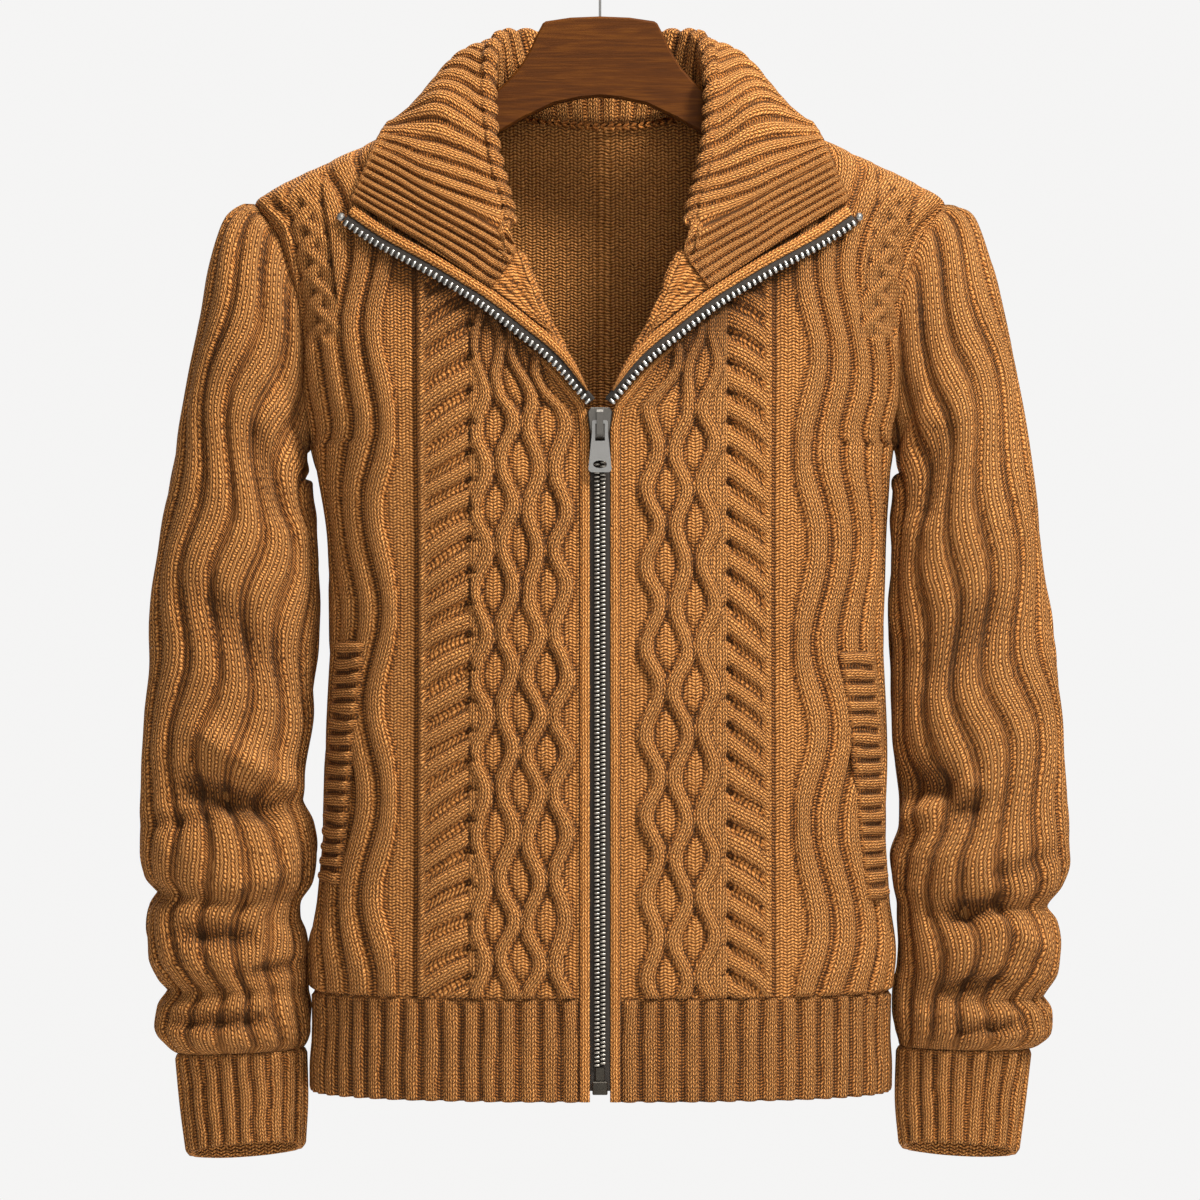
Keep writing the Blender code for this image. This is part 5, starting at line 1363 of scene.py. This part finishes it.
metals = {
    "nickel": metalFinish("nickel", (0.15, 0.145, 0.135), (0.27, 0.26, 0.245), 0.42, 0.00004),
    # the two darker copies below are painted shade: one of the nickel for the slider, one of the tooth
    # metal for the closed teeth
    "nickelShade": metalFinish("nickelShade", (0.055, 0.05, 0.044), (0.13, 0.12, 0.105), 0.4, 0.00004),
    "gunmetal": metalFinish("gunmetal", (0.035, 0.030, 0.024), (0.075, 0.065, 0.052), 0.42, 0.00004),
    "tooth": metalFinish("zipTooth", (0.34, 0.33, 0.30), (0.60, 0.58, 0.54), 0.34, 0.00003),
    "toothShaded": metalFinish("zipToothShade", (0.22, 0.195, 0.16), (0.42, 0.385, 0.33), 0.36, 0.00003),
}
tape = tapeFinish()
nodeFinishes = {
    "zip_slider": metals["nickelShade"], "zip_pull": metals["nickel"], "hanger_hook": metals["nickel"],
    "zip_stop_left": metals["tooth"], "zip_stop_right": metals["tooth"], "zip_box": metals["gunmetal"],
    "zip_pin": metals["gunmetal"], "hanger_body": walnutFinish(),
}
for node, finish in nodeFinishes.items():
    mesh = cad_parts[node].data
    mesh.materials.clear()
    mesh.materials.append(finish)


zipper = {
    "pitch": 2.76, "openPitch": 4.05, "low": 25.0, "high": 436.0,
    "tooth": (3.6, 1.6, 2.0), "soft": 0.45, "openTooth": (4.4, 2.2, 2.6), "openSoft": 0.5,
    "tapeHalf": 6.6, "tapeHead": 6.9, "openTape": (-1.9, 4.25), "tapeWall": 1.1,
    "foot": 8.0, "head": 456.0, "aside": 1.95, "outOfTape": 1.9, "openLift": 3.6,
}


def buildTapes():
    # one woven strip under the closed teeth and one behind each row of open teeth
    heights = np.linspace(zipper["foot"], zipper["head"], 226)[:, None]
    share = np.linspace(-1, 1, 9)[None, :]
    wide = np.where(heights > zipper["head"] - 10, zipper["tapeHead"], zipper["tapeHalf"])
    blank = 0 * (share + heights)
    front = np.stack([wide * share, -depthOf["front"](heights) - 0.25 + blank, heights + blank], axis=-1)
    clothPiece("zip_chain", front, front + np.array([0, zipper["tapeWall"], 0]), [(share * 2, heights)],
               blank, blank, tape, (0.0134, 0.45), innerStep=4, slot="tape")
    for side, tag in ((-1, "left"), (1, "right")):
        steps, reach = np.linspace(0.0, 12, 120)[:, None], np.linspace(*zipper["openTape"], 5)[None, :]
        spot, inward = zipAt(steps[:, 0])
        places = spot[:, None] + inward[:, None] * reach[..., None]
        lifts = liftAt(steps) + 2.5 + 0 * reach
        outer, inner = (onFront(side, places[..., 0], places[..., 1], lifts - depth)
                        for depth in (0, zipper["tapeWall"]))
        clothPiece(f"zip_side_{tag}", outer, inner, [(reach, steps)], 0 * lifts, 0 * lifts, tape,
                   (0.013, 0.203), area=0.00125, innerStep=3, slot="tape")


def buildZip():
    spots, ways = [], []
    for side in (-1, 1):
        for height in np.arange(zipper["low"], zipper["high"], zipper["pitch"]):
            shifted = height + (zipper["pitch"] / 2 if side > 0 else 0)
            if shifted < zipper["high"]:
                front = -float(depthOf["front"](shifted)) - zipper["outOfTape"]
                spots.append((side * zipper["aside"], front, shifted))
                ways.append((side, 0, 0.0))
    tooth = smallShape("tooth", zipper["tooth"], zipper["soft"])
    # the closed teeth get the darker, painted-shade copy of the tooth metal
    rowOfShapes("zip_chain_teeth", tooth, spots, ways, [(0, -1, 0)] * len(spots), metals["toothShaded"],
                jitter=0.03)
    for side, tag in ((-1, "left"), (1, "right")):
        fine = np.linspace(0.1, 11.9, 600)
        length = runLength(zipAt(fine)[0])
        steps = np.interp(np.arange(1.0, length[-1], zipper["openPitch"]), length, fine)
        spot, inward = zipAt(steps)
        place, lift = spot - inward * 0.9, liftAt(steps) + zipper["openLift"]
        points = onFront(side, place[:, 0], place[:, 1], lift)
        faces = onFront(side, place[:, 0], place[:, 1], lift + 1) - points
        place = place + inward
        ways = onFront(side, place[:, 0], place[:, 1], lift) - points
        tooth = smallShape("tooth", zipper["openTooth"], zipper["openSoft"])
        rowOfShapes(f"zip_side_{tag}_teeth", tooth, points, ways, faces, metals["tooth"],
                    jitter=0.03, seed=5 + side)


buildTapes()
buildZip()


neckChain = {
    "line": [  # x and height of the neck seam
        (-56, 665.5), (-49, 659.0), (-30, 656.6), (-12, 654.6), (0, 653.9), (16, 653.8),
        (34, 655.4), (51, 658.2), (57, 664.0),
    ],
    "pitch": 5.2, "loop": (5.6, 2.4, 2.1), "off": 2.2,
    "rows": (("upper", 0.9, 0.5), ("lower", -1.1, -0.5)),  # how far up, and how much the loops lean
}


def buildNeckChain():
    xs, hs = zip(*neckChain["line"])
    path = smoothCurve(xs, hs)
    x = np.linspace(xs[0], xs[-1], 500)
    height = path(x)
    y = onBody(1, "back", alongAt(1, "back", height, np.abs(x)), height)[:, 1]
    line = np.stack([x, y - garment["wall"] - neckChain["off"], height], axis=1)
    length = runLength(line)
    at = np.arange(0, length[-1], neckChain["pitch"])
    for row, drop, lean in neckChain["rows"]:
        spots = np.stack([np.interp(at, length, line[:, i]) for i in range(3)], axis=1)
        spots[:, 2] += drop
        ways = np.gradient(spots, axis=0)
        ways /= np.linalg.norm(ways, axis=1, keepdims=True)
        ways[:, 2] += lean
        rowOfShapes(f"neck_chain_{row}", smallShape("loop", neckChain["loop"]), spots, ways,
                    [(0, -1, 0)] * len(spots), wools["edge"], seed=9)


buildNeckChain()


studio = {
    "distance": 3.5, "height": -0.4555, "frameWidth": 0.81, "sensor": 36.0,
    "lights": {  # place, size and power
        "key": ((1.35, -1.45, 1.7), 0.7, 136.0),
        "fill": ((0.4, -3.6, 0.3), 1.6, 33.0),
        "top": ((0.2, -0.7, 1.8), 0.7, 34.0),
        "back": ((-0.9, 2.7, 1.2), 1.6, 75.0),
    },
    "aim": (0.0, 0.0, -0.42),
    "roomLight": 0.2, "backdrop": 0.913, "roomColour": (1.0, 0.995, 0.99),
    "floor": (2.4, -1.15), "floorColours": ((0.74, 0.735, 0.725), (0.8, 0.795, 0.785)),
}


def aimedLight(name, place, size, power):
    lamp = bpy.data.lights.new(name, "AREA")
    lamp.shape, lamp.size, lamp.energy = "DISK", size, power
    obj = putIn(name, lamp)
    obj.location = place
    obj.rotation_euler = (Vector(studio["aim"]) - Vector(place)).to_track_quat("-Z", "Y").to_euler()


def buildStudio():
    scene = bpy.context.scene
    lens = bpy.data.cameras.new("photoView")
    lens.sensor_width = studio["sensor"]
    lens.lens = studio["sensor"] * studio["distance"] / studio["frameWidth"]
    scene.camera = putIn("photoView", lens)
    scene.camera.location = (0, -studio["distance"], studio["height"])
    scene.camera.rotation_euler = (math.pi / 2, 0, 0)
    for name, lamp in studio["lights"].items():
        aimedLight(name + "Light", *lamp)
    scene.view_settings.view_transform = "Standard"
    scene.world = bpy.data.worlds.new("paleRoom")
    scene.world.use_nodes = True
    nodes, links = scene.world.node_tree.nodes, scene.world.node_tree.links
    nodes.clear()
    kinds = ("ShaderNodeOutputWorld", "ShaderNodeMixShader", "ShaderNodeLightPath")
    out, mix, path = (nodes.new(kind) for kind in kinds)
    links.new(path.outputs["Is Camera Ray"], mix.inputs[0])
    for slot, key in ((1, "roomLight"), (2, "backdrop")):
        back = nodes.new("ShaderNodeBackground")
        back.inputs["Color"].default_value = (*studio["roomColour"], 1)
        back.inputs["Strength"].default_value = studio[key]
        links.new(back.outputs[0], mix.inputs[slot])
    links.new(mix.outputs[0], out.inputs[0])
    mesh = bpy.data.meshes.new("floor")
    radius, height = studio["floor"]
    turns = np.linspace(0, 2 * math.pi, 64, endpoint=False)
    rim = [(radius * math.cos(a), radius * math.sin(a), height) for a in turns]
    mesh.from_pydata(rim, [], [tuple(range(64))])
    f = Finish("paleFloor")
    f.feed(Base_Color=f.mixColour(f.noise(40.0, 4.0), *studio["floorColours"]), Roughness=0.85)
    mesh.materials.append(f.material)
    putIn("floor", mesh)


buildStudio()
